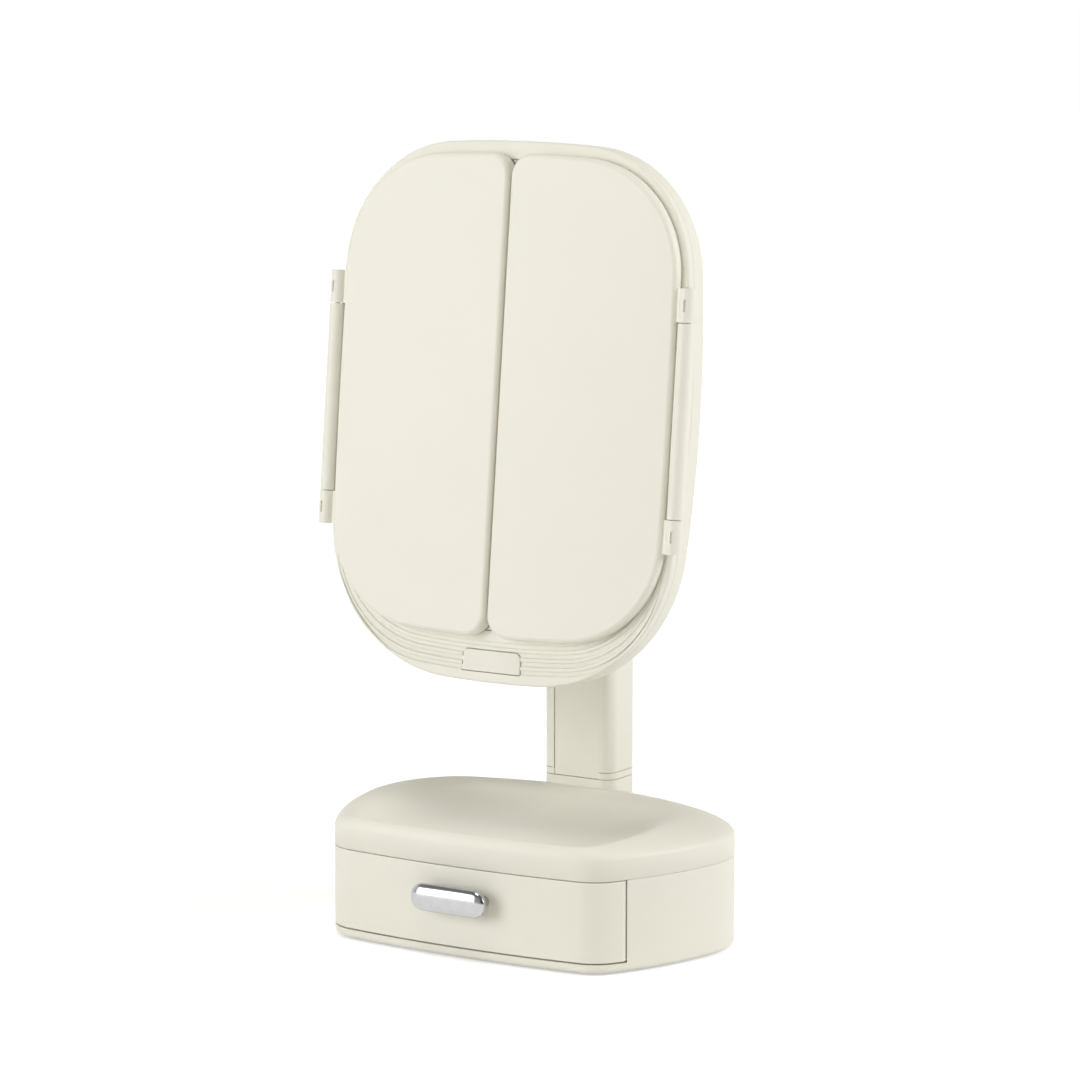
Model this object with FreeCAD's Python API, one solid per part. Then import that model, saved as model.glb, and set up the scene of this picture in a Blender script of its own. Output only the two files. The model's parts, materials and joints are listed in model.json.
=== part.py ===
import FreeCAD, Part
import math
import os

from FreeCAD import Placement, Rotation, Vector

os.makedirs("parts", exist_ok=True)

# Desk vanity mirror: a base with a drawer and a shallow tray, a rear column with a forward neck,
# and a leaning mirror head behind two hinged doors. Millimetres, +Z up, front towards -Y,
# origin on the ground at the middle of the overall footprint.

# ---------------------------------------------------------------- driving dimensions

# Plan outline of the base: tangent arcs from the front centre round to the back centre.
# The front bow and the sides are as long as the drawer box needs, see BASE_HALF.
FRONT_BOW_TURN = 6.8
FRONT_BOW_MARGIN = 6.8
FRONT_CORNER_RADIUS = 22.0
FRONT_CORNER_TURN = 51.2
SIDE_TURN = 21.5
SIDE_MARGIN = 54.7
BACK_CORNER_RADIUS = 44.0
BACK_CORNER_TURN = 68.5

# Base heights, from the ground up.
FOOT_HEIGHT = 1.2
FOOT_RADIUS = 7.0
BALLAST_THICKNESS = 1.9
BALLAST_INSET = 5.0
FLOOR_THICKNESS = 3.0
DRAWER_BAND = 44.0
COVER_HEIGHT = 18.4
SHELL_WALL = 2.6
BODY_EDGE_RADIUS = 2.8
PART_LINE = 0.3

# Tray pressed into the top cover; its rim rises towards the back and the shoulder falls away outside it.
SHOULDER_DROP = 7.4
SHOULDER_RADIUS = 6.0
COVER_SKIN = 2.4
TRAY_RIM_DROP = 1.0
TRAY_RIM_RISE = 2.2
TRAY_RIM_RADIUS = 1.4
TRAY_FRONT_MARGIN = 3.2
TRAY_FRONT_RADIUS = 600.0
TRAY_FRONT_TURN = 6.4
TRAY_FRONT_CORNER_RADIUS = 18.0
TRAY_FRONT_CORNER_TURN = 60.0
TRAY_SIDE_RADIUS = 110.0
TRAY_SIDE_TURN = 38.0
TRAY_BACK_CORNER_RADIUS = 34.0
TRAY_BACK_CORNER_TURN = 65.0
TRAY_DEPTH = 8.0
TRAY_SLOPE = 8.0
COVER_LIP_DEPTH = 4.0
COVER_LIP_WALL = 2.0
COVER_LIP_SETBACK = 40.0
POST_RADIUS = 4.2
POST_SIDE_MARGIN = 16.0
POST_FRONT_MARGIN = 56.0
POST_PITCH = 42.0
POST_FOOT = 4.0

# Drawer.
DRAWER_FRONT_OVERHANG = 13.2
DRAWER_FRONT_WALL = 3.0
DRAWER_GAP = 0.8
DRAWER_TOP_GAP = 0.5
DRAWER_BOX_WIDTH = 158.0
DRAWER_BOX_LENGTH = 118.0
DRAWER_BOX_HEIGHT = 38.0
DRAWER_WALL = 2.0
DRAWER_FLOOR_GAP = 0.3
DRAWER_CORNER = 5.0
DRAWER_HELD_LENGTH = 32.0
DRAWER_OPENING_DEPTH = 30.0
RUNNER_GAP = 0.5
RUNNER_WIDTH = 6.0
RUNNER_HEIGHT = 16.0
RUNNER_STOP = 5.0
LUG_LENGTH = 6.0
LUG_HEIGHT = 5.0
LUG_REACH = 3.0
LUG_LIFT = 7.0
LUG_CLEARANCE = 0.4

# Pull bar on the drawer front.
PULL_LENGTH = 46.4
PULL_HEIGHT = 15.0
PULL_THICKNESS = 5.0
PULL_FRONT_EDGE = 3.8
PULL_BACK_EDGE = 0.8
PULL_STANDOFF = 7.0
PULL_POST_RADIUS = 3.0
PULL_POST_PITCH = 34.0
PULL_CENTRE_DROP = 16.3
PULL_SCREW_BITE = 2.5

# Column behind the tray.
COLUMN_WIDTH = 45.0
COLUMN_DEPTH = 28.0
COLUMN_CORNER = 7.0
COLUMN_REAR_MARGIN = 0.8
COLUMN_TOP = 309.5
COLUMN_CAP_RADIUS = 5.0
COLUMN_WALL = 2.4
SOCKET_HEIGHT = 8.8
COLLAR_HEIGHT = 3.6
PANEL_WIDTH = 28.4
PANEL_THICKNESS = 2.4
PANEL_RECESS = 0.5
PANEL_GAP = 0.25
CORE_WIDTH = 24.0
CORE_DEPTH = 12.0
CORE_WALL = 1.5
CORE_CORNER = 2.5
CORE_GAP = 0.3
BRACKET_WIDTH = 52.0
BRACKET_DEPTH = 20.0
BRACKET_THICKNESS = 2.5
BRACKET_SCREW_PITCH = 40.0

# Neck and tilt hinge behind the head.
TILT_HEIGHT = 285.7
NECK_REACH = 41.2
HEAD_LEAN = 6.1
NECK_WIDTH = 20.0
NECK_HEIGHT = 16.0
NECK_FLANGE_WIDTH = 27.0
NECK_FLANGE_HEIGHT = 34.0
NECK_FLANGE_THICKNESS = 3.0
NECK_CORNER = 4.0
NECK_SCREW_PITCH = 25.0
KNUCKLE_RADIUS = 10.0
KNUCKLE_LENGTH = 21.0
KNUCKLE_SIDE_GAP = 1.0
TILT_PIN_RADIUS = 3.0
TILT_PIN_HEAD = 5.0
TILT_PIN_HEAD_LENGTH = 2.0
PIN_CLEARANCE = 0.05
WASHER_THICKNESS = 0.8
WASHER_RADIUS = 8.0
EAR_THICKNESS = 5.0
MOUNT_WIDTH = 48.0
MOUNT_HEIGHT = 54.0
MOUNT_THICKNESS = 3.0
MOUNT_CORNER = 8.0
MOUNT_SCREW_PITCH_X = 36.0
MOUNT_SCREW_PITCH_Y = 42.0

# Head housing, measured in the head's own plane: X right, Y up, Z towards the user,
# with Z = 0 on the door hinge axes and Y = 0 at the middle of the hinges.
# The housing stands out past the door pair by a margin at each side, below and above.
HEAD_SIDE_MARGIN = 6.7
HEAD_LOW_MARGIN = 24.75
HEAD_HIGH_MARGIN = 6.65
HEAD_LOW_CORNER = 81.0
HEAD_HIGH_CORNER = 69.0
HEAD_END_BOW = 3.0
HEAD_SIDE_BOW = 5.4
HEAD_WALL = 2.6
FRAME_EDGE_RADIUS = 1.4
LAND_LEVEL = -3.0
LAND_THICKNESS = 3.4
FRAME_DEPTH = 5.5
SEAM_CHAMFER = 0.35
REAR_DEPTH = 12.7
REAR_EDGE_RADIUS = 4.5

# Ribs below the doors: channels cut in the front of the frame that follow the doors' lower edge,
# close up as they climb the sides, and run out under the doors.
RIB_CHANNELS = 4
RIB_PITCH = 4.6
RIB_SIDE_STEP = 0.94
RIB_TOP_STEP = 0.5
RIB_CHANNEL_SHARE = 0.6
RIB_DEPTH = 1.2
RIB_RUN_OUT = -66.0
RIB_LOW_CORNER = 62.1
RIB_LOW_CORNER_STEP = 1.15
RIB_HIGH_CORNER = 61.0
RIB_END_BOW = 4.7
RIB_SIDE_BOW = 2.25
RIM_WIDTH_BOTTOM = 5.65
RIM_WIDTH_TOP = 5.3
RIM_WIDTH_SIDE = 6.5

# Mirror window and what lies in it.
WINDOW_MARGIN = 3.0
WINDOW_GAP = 0.3
GLASS_THICKNESS = 3.0
GLASS_SETBACK = 0.4
LIGHT_BAND_INSET = 13.0
LIGHT_BAND_WIDTH = 7.0
LIGHT_BAND_DEPTH = 1.0
BACKING_THICKNESS = 2.0
BACKING_LAP = 1.2
LED_THICKNESS = 0.8
LED_MARGIN = 1.0

# Doors.
DOOR_PAIR_WIDTH = 207.6
DOOR_HEIGHT = 256.4
DOOR_CENTRE = 6.85
DOOR_LOW_CORNER = 57.0
DOOR_HIGH_CORNER = 61.0
DOOR_END_BOW = 3.0
DOOR_SIDE_BOW = 1.0
DOOR_SEAM = 1.2
DOOR_SEAM_CORNER = 9.5
DOOR_BACK_GAP = 0.4
DOOR_CROWN_HEIGHT = 6.0
DOOR_CROWN_RADIUS = 1700.0
DOOR_EDGE_RADIUS = 3.4
DOOR_MIRROR_THICKNESS = 2.0
DOOR_MIRROR_MARGIN = 4.5
DOOR_MIRROR_GAP = 0.25
DOOR_CAVITY_MARGIN = 5.0
DOOR_FACE_WALL = 2.6
MAGNET_LENGTH = 8.0
MAGNET_WIDTH = 2.2
MAGNET_THICKNESS = 1.6
MAGNET_X = 18.0
DOOR_MAGNET_INSET = 3.0
FRAME_MAGNET_INSET = 0.3

# Door hinges at the sides of the frame.
BARREL_RADIUS = 4.2
BARREL_LENGTH = 101.2
BARREL_GAP = 0.9
HINGE_LENGTH = 137.6
KNUCKLE_GAP = 0.4
GROOVE_CLEARANCE = 0.5
HINGE_PIN_RADIUS = 1.2
HINGE_PIN_GRIP = 10.0
HINGE_PIN_TOP = 1.5
KNUCKLE_WEB_TOP = 1.0
SLOT_LENGTH = 6.4
SLOT_WIDTH = 1.4
SLOT_DEPTH = 1.0
SLOT_TURN = 12.0

# Light key at the bottom of the frame, with its switch, board, battery and inlet.
KEY_WIDTH = 36.0
KEY_HEIGHT = 11.6
KEY_CORNER = 3.4
KEY_GAP = 0.3
KEY_FLANGE = 1.6
KEY_FLANGE_THICKNESS = 1.2
KEY_TRAVEL = 1.0
KEY_PLAY = 0.1
SWITCH_SIZE = 6.0
SWITCH_BODY = 3.4
SWITCH_FLOOR = 0.8
SWITCH_PLUNGER_RADIUS = 1.6
BOARD_WIDTH = 46.0
BOARD_HEIGHT = 16.0
BOARD_THICKNESS = 1.6
BOARD_DROP = 4.0
BOARD_POST_RADIUS = 2.5
BOARD_POST_PITCH = 38.0
BATTERY_WIDTH = 62.0
BATTERY_HEIGHT = 44.0
BATTERY_THICKNESS = 7.0
BATTERY_CORNER = 2.5
BATTERY_DROP = 62.0
INLET_WIDTH = 9.0
INLET_HEIGHT = 3.4
INLET_LENGTH = 7.2
INLET_WALL = 0.5
INLET_TONGUE = 0.7
REAR_SCREW_PITCH = 104.0
REAR_SCREW_RISE = 17.6
REAR_SCREW_BITE = 3.2
REAR_BOSS_RADIUS = 4.2
REAR_WELL_RADIUS = 3.5
REAR_WELL_DEPTH = 3.0
REAR_LIP_HEIGHT = 1.6
REAR_LIP_WALL = 1.0

# Fasteners.
SCREW_RADIUS = 1.5
SCREW_HEAD_RADIUS = 2.9
SCREW_HEAD_HEIGHT = 1.8
SCREW_HEAD_CHAMFER = 0.7
SCREW_GRIP = 8.0

# ---------------------------------------------------------------- derived places

DRAWER_FRONT_WIDTH = DRAWER_BOX_WIDTH + 2 * DRAWER_FRONT_OVERHANG
DRAWER_TRAVEL = DRAWER_BOX_LENGTH - DRAWER_HELD_LENGTH


def arc_radius(rise, start, turn):
    """Radius of an arc that climbs by rise while its heading goes on from start by turn, in degrees."""
    return rise / (math.cos(math.radians(start)) - math.cos(math.radians(start + turn)))


FRONT_BOW_RADIUS = (DRAWER_BOX_WIDTH / 2 - FRONT_BOW_MARGIN) / math.sin(math.radians(FRONT_BOW_TURN))
SIDE_RADIUS = arc_radius(DRAWER_BOX_LENGTH - SIDE_MARGIN, FRONT_BOW_TURN + FRONT_CORNER_TURN, SIDE_TURN)
BASE_HALF = [(FRONT_BOW_RADIUS, FRONT_BOW_TURN), (FRONT_CORNER_RADIUS, FRONT_CORNER_TURN),
             (SIDE_RADIUS, SIDE_TURN), (BACK_CORNER_RADIUS, BACK_CORNER_TURN)]

TRAY_HALF = [(TRAY_FRONT_RADIUS, TRAY_FRONT_TURN), (TRAY_FRONT_CORNER_RADIUS, TRAY_FRONT_CORNER_TURN),
             (TRAY_SIDE_RADIUS, TRAY_SIDE_TURN), (TRAY_BACK_CORNER_RADIUS, TRAY_BACK_CORNER_TURN)]

Z_EDGE = FOOT_HEIGHT
Z_FLOOR_UNDER = Z_EDGE + BALLAST_THICKNESS
Z_FLOOR = Z_FLOOR_UNDER + FLOOR_THICKNESS
Z_COVER = Z_FLOOR + DRAWER_BAND
Z_TOP = Z_COVER + COVER_HEIGHT
OUT = Vector(0, 0, 1)
RIGHT = Vector(1, 0, 0)
BACK = Vector(0, 1, 0)
ORIGIN = Vector(0, 0, 0)
UP_HEAD = Vector(0, 1, 0)
BIG = 1000.0
PARALLEL = 0.99
CLOSE = 0.03
QUARTER_TURN = 90.0


# ---------------------------------------------------------------- outlines

def tangent_arcs(x, y, heading, arcs):
    """Edges of arcs that all turn left, each tangent to the one before; also the end point."""
    edges = []
    for radius, turn in arcs:
        cx = x - radius * math.sin(heading)
        cy = y + radius * math.cos(heading)
        stops = [heading + math.radians(turn) * share for share in (0.0, 0.5, 1.0)]
        points = [Vector(cx + radius * math.sin(a), cy - radius * math.cos(a), 0) for a in stops]
        edges.append(Part.Arc(*points).toShape())
        heading = stops[-1]
        x, y = points[-1].x, points[-1].y
    return edges, x, y


def closed_outline(x, y, half, inset):
    """Wire that is symmetrical about X = x, its radii shortened so that it lies inset."""
    arcs = [(radius - inset, turn) for radius, turn in half]
    edges, _, _ = tangent_arcs(x, y + inset, 0.0, arcs + arcs[::-1])
    return Part.Wire(edges)


def returned(half):
    """Half outline with one more arc, whose radius brings it back to the centre plane."""
    _, x, _ = tangent_arcs(0.0, 0.0, 0.0, half)
    turned = sum(turn for _, turn in half)
    return half + [(x / math.sin(math.radians(turned)), 2 * QUARTER_TURN - turned)]


def base_outline(inset=0.0):
    return closed_outline(0.0, Y_FRONT, returned(BASE_HALF), inset)


def crowned_rectangle(width, height, corners, end_bow, side_bow, centre, inset=0.0):
    """Rounded rectangle of shallow bowed sides; corners holds the low and the high corner radius.

    Width and height fix the three bow radii, because every arc is tangent to the next."""
    end, side = math.radians(end_bow), math.radians(side_bow)
    both = sum(corners)
    corner_out = math.cos(side) - math.sin(end)
    corner_up = math.cos(end) - math.sin(side)
    side_out = 1 - math.cos(side)
    end_up = (1 - math.cos(end)) / math.sin(end)
    left_over = height - corner_up * both - end_up * (width - corner_out * both)
    side_radius = left_over / (2 * math.sin(side) - 2 * end_up * side_out)
    low, high = [((width / 2 - corner * corner_out - side_radius * side_out) / math.sin(end), corner)
                 for corner in corners]
    turn = QUARTER_TURN - end_bow - side_bow
    half = [(low[0], end_bow), (low[1], turn), (side_radius, 2 * side_bow),
            (high[1], turn), (high[0], end_bow)]
    return closed_outline(0.0, centre - height / 2, half, inset)


def rounded_box(width, depth, height, corner, base=ORIGIN):
    """Box with rounded upright edges, centred on base in X and Y."""
    box = Part.makeBox(width, depth, height, base - Vector(width / 2, depth / 2, 0))
    return box.makeFillet(corner, edges_along(box, OUT))


def prism(wire, low, high):
    """Solid that stands on wire from height low to height high."""
    face = Part.Face(wire)
    face.translate(Vector(0, 0, low))
    return face.extrude(Vector(0, 0, high - low))


def edges_at(shape, height, tolerance=0.01):
    """Edges that lie wholly at one height."""
    return [edge for edge in shape.Edges
            if abs(edge.BoundBox.ZMin - height) < tolerance and abs(edge.BoundBox.ZMax - height) < tolerance]


def edges_along(shape, direction):
    """Straight edges that run along a direction."""
    return [edge for edge in shape.Edges
            if abs(edge.tangentAt(edge.FirstParameter).dot(direction)) > PARALLEL]


def rod(radius, start, end):
    run = end - start
    return Part.makeCylinder(radius, run.Length, start, run)


def tube(outer, inner, start, end):
    return rod(outer, start, end).cut(rod(inner, start, end))


def mirrored(shape):
    return shape.mirror(ORIGIN, RIGHT)


def joined(shapes):
    whole = shapes[0]
    for shape in shapes[1:]:
        whole = whole.fuse(shape)
    return whole.removeSplitter()


def screw(seat, direction, length):
    """Pan-head screw whose head bears on seat and whose shank runs along direction."""
    head = rod(SCREW_HEAD_RADIUS, seat - direction * SCREW_HEAD_HEIGHT, seat)
    crown = [edge for edge in head.Edges if edge.Closed and
             (edge.CenterOfMass - seat).Length > SCREW_HEAD_HEIGHT / 2]
    head = head.makeChamfer(SCREW_HEAD_CHAMFER, crown)
    return head.fuse(rod(SCREW_RADIUS, seat, seat + direction * length))


# ---------------------------------------------------------------- places on the base

PULL_REACH = PULL_STANDOFF + PULL_THICKNESS
Y_FRONT = 0.0
BASE_DEPTH = base_outline().BoundBox.YLength
Y_FRONT = PULL_REACH - (BASE_DEPTH + PULL_REACH) / 2
Y_REAR = Y_FRONT + BASE_DEPTH
COLUMN_Y = Y_REAR - COLUMN_REAR_MARGIN - COLUMN_DEPTH / 2
COLUMN_FACE = COLUMN_Y - COLUMN_DEPTH / 2
PANEL_FACE = COLUMN_FACE + PANEL_RECESS
TILT_Y = PANEL_FACE - NECK_REACH
Z_COLLAR = Z_TOP + SOCKET_HEIGHT + PART_LINE
Z_SHELL = Z_COLLAR + COLLAR_HEIGHT + PART_LINE
Z_PULL = Z_COVER - PULL_CENTRE_DROP
PANEL_TOP = COLUMN_TOP - COLUMN_CAP_RADIUS
POST_X = DRAWER_BOX_WIDTH / 2 + POST_SIDE_MARGIN
POST_FRONT_Y = Y_FRONT + DRAWER_BOX_LENGTH - POST_FRONT_MARGIN
POSTS = [Vector(side * POST_X, POST_FRONT_Y + row * POST_PITCH, 0)
         for side in (-1, 1) for row in (0, 1)]
BRACKET_HOLES = [Vector(side * BRACKET_SCREW_PITCH / 2, COLUMN_Y, 0) for side in (-1, 1)]
LUG_Z = Z_FLOOR + LUG_LIFT
BOX_REAR = Y_FRONT + DRAWER_FRONT_WALL + DRAWER_BOX_LENGTH
RUNNER_X = DRAWER_BOX_WIDTH / 2 + RUNNER_GAP


def front_zone(half_width, rear, low, high):
    """Box in front of the plane Y = rear, between X = -half_width and half_width."""
    reach = rear - Y_FRONT + PULL_REACH
    return Part.makeBox(2 * half_width, reach, high - low, Vector(-half_width, rear - reach, low))


# ---------------------------------------------------------------- base

def base_body():
    shell = prism(base_outline(), Z_EDGE, Z_COVER)
    shell = shell.makeFillet(BODY_EDGE_RADIUS, edges_at(shell, Z_EDGE))
    shell = shell.cut(prism(base_outline(SHELL_WALL), Z_FLOOR, Z_COVER))
    shell = shell.cut(prism(base_outline(BALLAST_INSET), Z_EDGE, Z_FLOOR_UNDER))
    half = DRAWER_FRONT_WIDTH / 2
    shell = shell.cut(front_zone(half, Y_FRONT + DRAWER_OPENING_DEPTH, Z_FLOOR, Z_COVER))
    for place in POSTS:
        foot = rod(POST_RADIUS, place + OUT * Z_FLOOR, place + OUT * (Z_FLOOR + POST_FOOT))
        shell = shell.fuse(foot)
    for place in POSTS + BRACKET_HOLES:
        shell = shell.cut(rod(SCREW_RADIUS, place, place + OUT * (Z_FLOOR + POST_FOOT)))
    return shell.removeSplitter()


def ballast_plate():
    plate = prism(base_outline(BALLAST_INSET + PART_LINE), Z_EDGE, Z_FLOOR_UNDER)
    for place in POSTS + BRACKET_HOLES:
        well = SCREW_HEAD_RADIUS + PART_LINE
        plate = plate.cut(rod(well, place, place + OUT * Z_FLOOR_UNDER))
    return plate


def rubber_feet():
    margin = BALLAST_INSET + FOOT_RADIUS
    feet = []
    front = (DRAWER_BOX_WIDTH / 2 - margin, Y_FRONT + 2 * margin)
    rear = (DRAWER_BOX_WIDTH / 2, COLUMN_FACE - margin)
    for x, y in (front, rear):
        for side in (-1, 1):
            foot = rod(FOOT_RADIUS, Vector(side * x, y, 0), Vector(side * x, y, FOOT_HEIGHT))
            feet.append(foot.makeChamfer(FOOT_HEIGHT / 3, edges_at(foot, 0.0)))
    return Part.makeCompound(feet)


def base_screws():
    length = FLOOR_THICKNESS + POST_FOOT + SCREW_GRIP
    return Part.makeCompound([screw(place + OUT * Z_FLOOR_UNDER, OUT, length) for place in POSTS])


def tray_outline(inset):
    return closed_outline(0.0, Y_FRONT + TRAY_FRONT_MARGIN, returned(TRAY_HALF), inset)


def tray_rim():
    """Rim line of the dish, which rises towards the back."""
    rim = tray_outline(0.0)
    rim.rotate(Vector(0, Y_FRONT + TRAY_FRONT_MARGIN, 0), RIGHT, TRAY_RIM_RISE)
    rim.translate(OUT * (Z_TOP - TRAY_RIM_DROP))
    return rim


def tray_hollow():
    """The dish: sloping walls from its rim down to a flat floor."""
    floor = tray_outline(TRAY_SLOPE)
    floor.translate(OUT * (Z_TOP - TRAY_DEPTH))
    dish = Part.makeLoft([tray_rim(), floor], True, True)
    return dish.makeFillet(TRAY_DEPTH / 2, edges_at(dish, Z_TOP - TRAY_DEPTH))


def cover_block(low):
    """Cover without its dish: upright walls, then a shoulder that climbs to the rim line."""
    bend = Z_TOP - SHOULDER_DROP
    foot = base_outline()
    foot.translate(OUT * bend)
    shoulder = Part.makeLoft([foot, tray_rim()], True, True)
    block = prism(base_outline(), low, bend).fuse(shoulder).removeSplitter()
    return block.makeFillet(SHOULDER_RADIUS, edges_at(block, bend))


def rim_edges(shape):
    """Edges of the shape that lie in the leaning plane of the tray's rim."""
    face = Part.Face(tray_rim())
    normal = face.normalAt(0, 0)
    corner = tray_rim().Vertexes[0].Point
    return [edge for edge in shape.Edges
            if all(abs((point - corner).dot(normal)) < CLOSE for point in edge.discretize(3))]


def top_cover():
    low = Z_COVER + PART_LINE
    cover = cover_block(low).cut(tray_hollow())
    cover = cover.makeFillet(TRAY_RIM_RADIUS, rim_edges(cover))
    under = Z_TOP - TRAY_DEPTH - COVER_SKIN
    cover = cover.fuse(column_block(0.0, under, Z_TOP)).cut(column_block(-PART_LINE, Z_TOP, COLUMN_TOP))
    cover = cover.cut(prism(base_outline(SHELL_WALL), low, under))
    lip_outer = SHELL_WALL + PART_LINE
    lip = prism(base_outline(lip_outer), low - COVER_LIP_DEPTH, under)
    lip = lip.cut(prism(base_outline(lip_outer + COVER_LIP_WALL), low - COVER_LIP_DEPTH, under))
    lip = lip.cut(front_zone(BIG, Y_FRONT + COVER_LIP_SETBACK, 0.0, Z_TOP))
    bridge = prism(base_outline(SHELL_WALL), low, low + COVER_LIP_WALL)
    bridge = bridge.cut(prism(base_outline(lip_outer + COVER_LIP_WALL), low, low + COVER_LIP_WALL))
    posts = [rod(POST_RADIUS, place + OUT * (Z_FLOOR + POST_FOOT), place + OUT * under) for place in POSTS]
    cover = joined([cover, lip, bridge] + posts)
    for place in POSTS:
        pilot = rod(SCREW_RADIUS, place, place + OUT * (Z_FLOOR + POST_FOOT + SCREW_GRIP))
        cover = cover.cut(pilot)
    shaft = rounded_box(CORE_WIDTH + 2 * CORE_GAP, CORE_DEPTH + 2 * CORE_GAP, Z_TOP, CORE_CORNER,
                        Vector(0, COLUMN_Y, 0))
    return cover.cut(shaft)


# ---------------------------------------------------------------- drawer

def drawer_front():
    low, high = Z_FLOOR + DRAWER_GAP, Z_COVER - DRAWER_TOP_GAP + PART_LINE
    panel = prism(base_outline(), low, high).cut(prism(base_outline(DRAWER_FRONT_WALL), low, high))
    zone = front_zone(DRAWER_FRONT_WIDTH / 2 - DRAWER_GAP, Y_FRONT + DRAWER_OPENING_DEPTH, low, high)
    panel = panel.common(zone)
    for side in (-1, 1):
        place = Vector(side * PULL_POST_PITCH / 2, Y_FRONT, Z_PULL)
        panel = panel.cut(rod(SCREW_RADIUS, place - BACK * PULL_REACH, place + BACK * PULL_REACH))
    return panel


def drawer_box():
    low = Z_FLOOR + DRAWER_FLOOR_GAP
    high = low + DRAWER_BOX_HEIGHT
    half = DRAWER_BOX_WIDTH / 2
    middle = Vector(0, BOX_REAR - DRAWER_BOX_LENGTH, 0)
    outer = rounded_box(2 * half, 2 * DRAWER_BOX_LENGTH, high - low, DRAWER_CORNER, middle + OUT * low)
    inner = rounded_box(2 * (half - DRAWER_WALL), 2 * (DRAWER_BOX_LENGTH - DRAWER_WALL), high - low,
                        DRAWER_CORNER - DRAWER_WALL, middle + OUT * (low + DRAWER_WALL))
    outer = outer.common(prism(base_outline(DRAWER_FRONT_WALL), low, high))
    inner = inner.common(prism(base_outline(DRAWER_FRONT_WALL + DRAWER_WALL), low, high))
    box = outer.cut(inner)
    box = box.makeFillet(DRAWER_WALL, edges_at(box, low + DRAWER_WALL))
    rear = BOX_REAR - DRAWER_CORNER
    for side in (-1, 1):
        x = half if side > 0 else -half - LUG_REACH
        box = box.fuse(Part.makeBox(LUG_REACH, LUG_LENGTH, LUG_HEIGHT, Vector(x, rear - LUG_LENGTH, LUG_Z)))
        place = Vector(side * PULL_POST_PITCH / 2, Y_FRONT, Z_PULL)
        box = box.cut(rod(SCREW_RADIUS, place, place + BACK * PULL_REACH))
    return box


def runner(side):
    """Rail beside the drawer box: its groove guides a lug and ends in a stop at the front."""
    rear = BOX_REAR - DRAWER_CORNER + LUG_CLEARANCE
    front = rear - 2 * LUG_CLEARANCE - LUG_LENGTH - DRAWER_TRAVEL
    rail = Part.makeBox(RUNNER_WIDTH, rear + RUNNER_STOP - front + RUNNER_STOP, RUNNER_HEIGHT,
                        Vector(RUNNER_X, front - RUNNER_STOP, Z_FLOOR))
    deep = LUG_REACH - RUNNER_GAP + LUG_CLEARANCE
    groove = Part.makeBox(deep, rear - front, LUG_HEIGHT + 2 * LUG_CLEARANCE,
                          Vector(RUNNER_X, front, LUG_Z - LUG_CLEARANCE))
    rail = rail.cut(groove)
    return rail if side > 0 else mirrored(rail)


def pull_bar():
    low = Z_PULL - PULL_HEIGHT / 2
    ends = PULL_HEIGHT / 2
    middle = Part.makeBox(PULL_LENGTH - PULL_HEIGHT, PULL_HEIGHT, PULL_THICKNESS,
                          Vector(ends - PULL_LENGTH / 2, -ends, 0))
    caps = [rod(ends, Vector(side * (PULL_LENGTH / 2 - ends), 0, 0),
                Vector(side * (PULL_LENGTH / 2 - ends), 0, PULL_THICKNESS)) for side in (-1, 1)]
    bar = joined([middle] + caps)
    bar = bar.makeFillet(PULL_FRONT_EDGE, edges_at(bar, PULL_THICKNESS))
    bar = bar.makeFillet(PULL_BACK_EDGE, edges_at(bar, 0.0))
    bar.rotate(ORIGIN, RIGHT, 90)
    bar.translate(Vector(0, Y_FRONT - PULL_STANDOFF, low + ends))
    for side in (-1, 1):
        place = Vector(side * PULL_POST_PITCH / 2, Y_FRONT - PULL_STANDOFF, Z_PULL)
        bar = bar.cut(rod(SCREW_RADIUS, place, place - BACK * PULL_SCREW_BITE))
    return bar


def pull_posts():
    posts = []
    for side in (-1, 1):
        place = Vector(side * PULL_POST_PITCH / 2, Y_FRONT - PULL_STANDOFF, Z_PULL)
        post = rod(PULL_POST_RADIUS, place, place + BACK * 2 * PULL_STANDOFF)
        post = post.cut(prism(base_outline(), Z_FLOOR, Z_COVER))
        posts.append(post.cut(rod(SCREW_RADIUS, place, place + BACK * 2 * PULL_STANDOFF)))
    return Part.makeCompound(posts)


def pull_screws():
    bow = FRONT_BOW_RADIUS - DRAWER_FRONT_WALL - DRAWER_WALL
    sag = bow - math.sqrt(bow ** 2 - (PULL_POST_PITCH / 2 + SCREW_HEAD_RADIUS) ** 2)
    seat = Y_FRONT + DRAWER_FRONT_WALL + DRAWER_WALL + sag
    length = seat - Y_FRONT + PULL_STANDOFF + PULL_SCREW_BITE
    return Part.makeCompound([screw(Vector(side * PULL_POST_PITCH / 2, seat, Z_PULL), -BACK, length)
                              for side in (-1, 1)])


# ---------------------------------------------------------------- column and neck

def column_block(inset, low, high):
    return rounded_box(COLUMN_WIDTH - 2 * inset, COLUMN_DEPTH - 2 * inset, high - low,
                       COLUMN_CORNER - inset, Vector(0, COLUMN_Y, low))


def core_block(gap, low, high):
    return rounded_box(CORE_WIDTH + 2 * gap, CORE_DEPTH + 2 * gap, high - low, CORE_CORNER,
                       Vector(0, COLUMN_Y, low))


def panel_zone(gap, low, high):
    """Front strip of the column that the flat panel fills."""
    return Part.makeBox(PANEL_WIDTH + 2 * gap, PANEL_RECESS + PANEL_THICKNESS + gap, high - low,
                        Vector(-PANEL_WIDTH / 2 - gap, COLUMN_FACE, low))


def neck_holes(shape):
    for side in (-1, 1):
        place = Vector(0, PANEL_FACE, TILT_HEIGHT + side * NECK_SCREW_PITCH / 2)
        shape = shape.cut(rod(SCREW_RADIUS, place - BACK * NECK_REACH, place + BACK * COLUMN_DEPTH / 2))
    return shape


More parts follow.
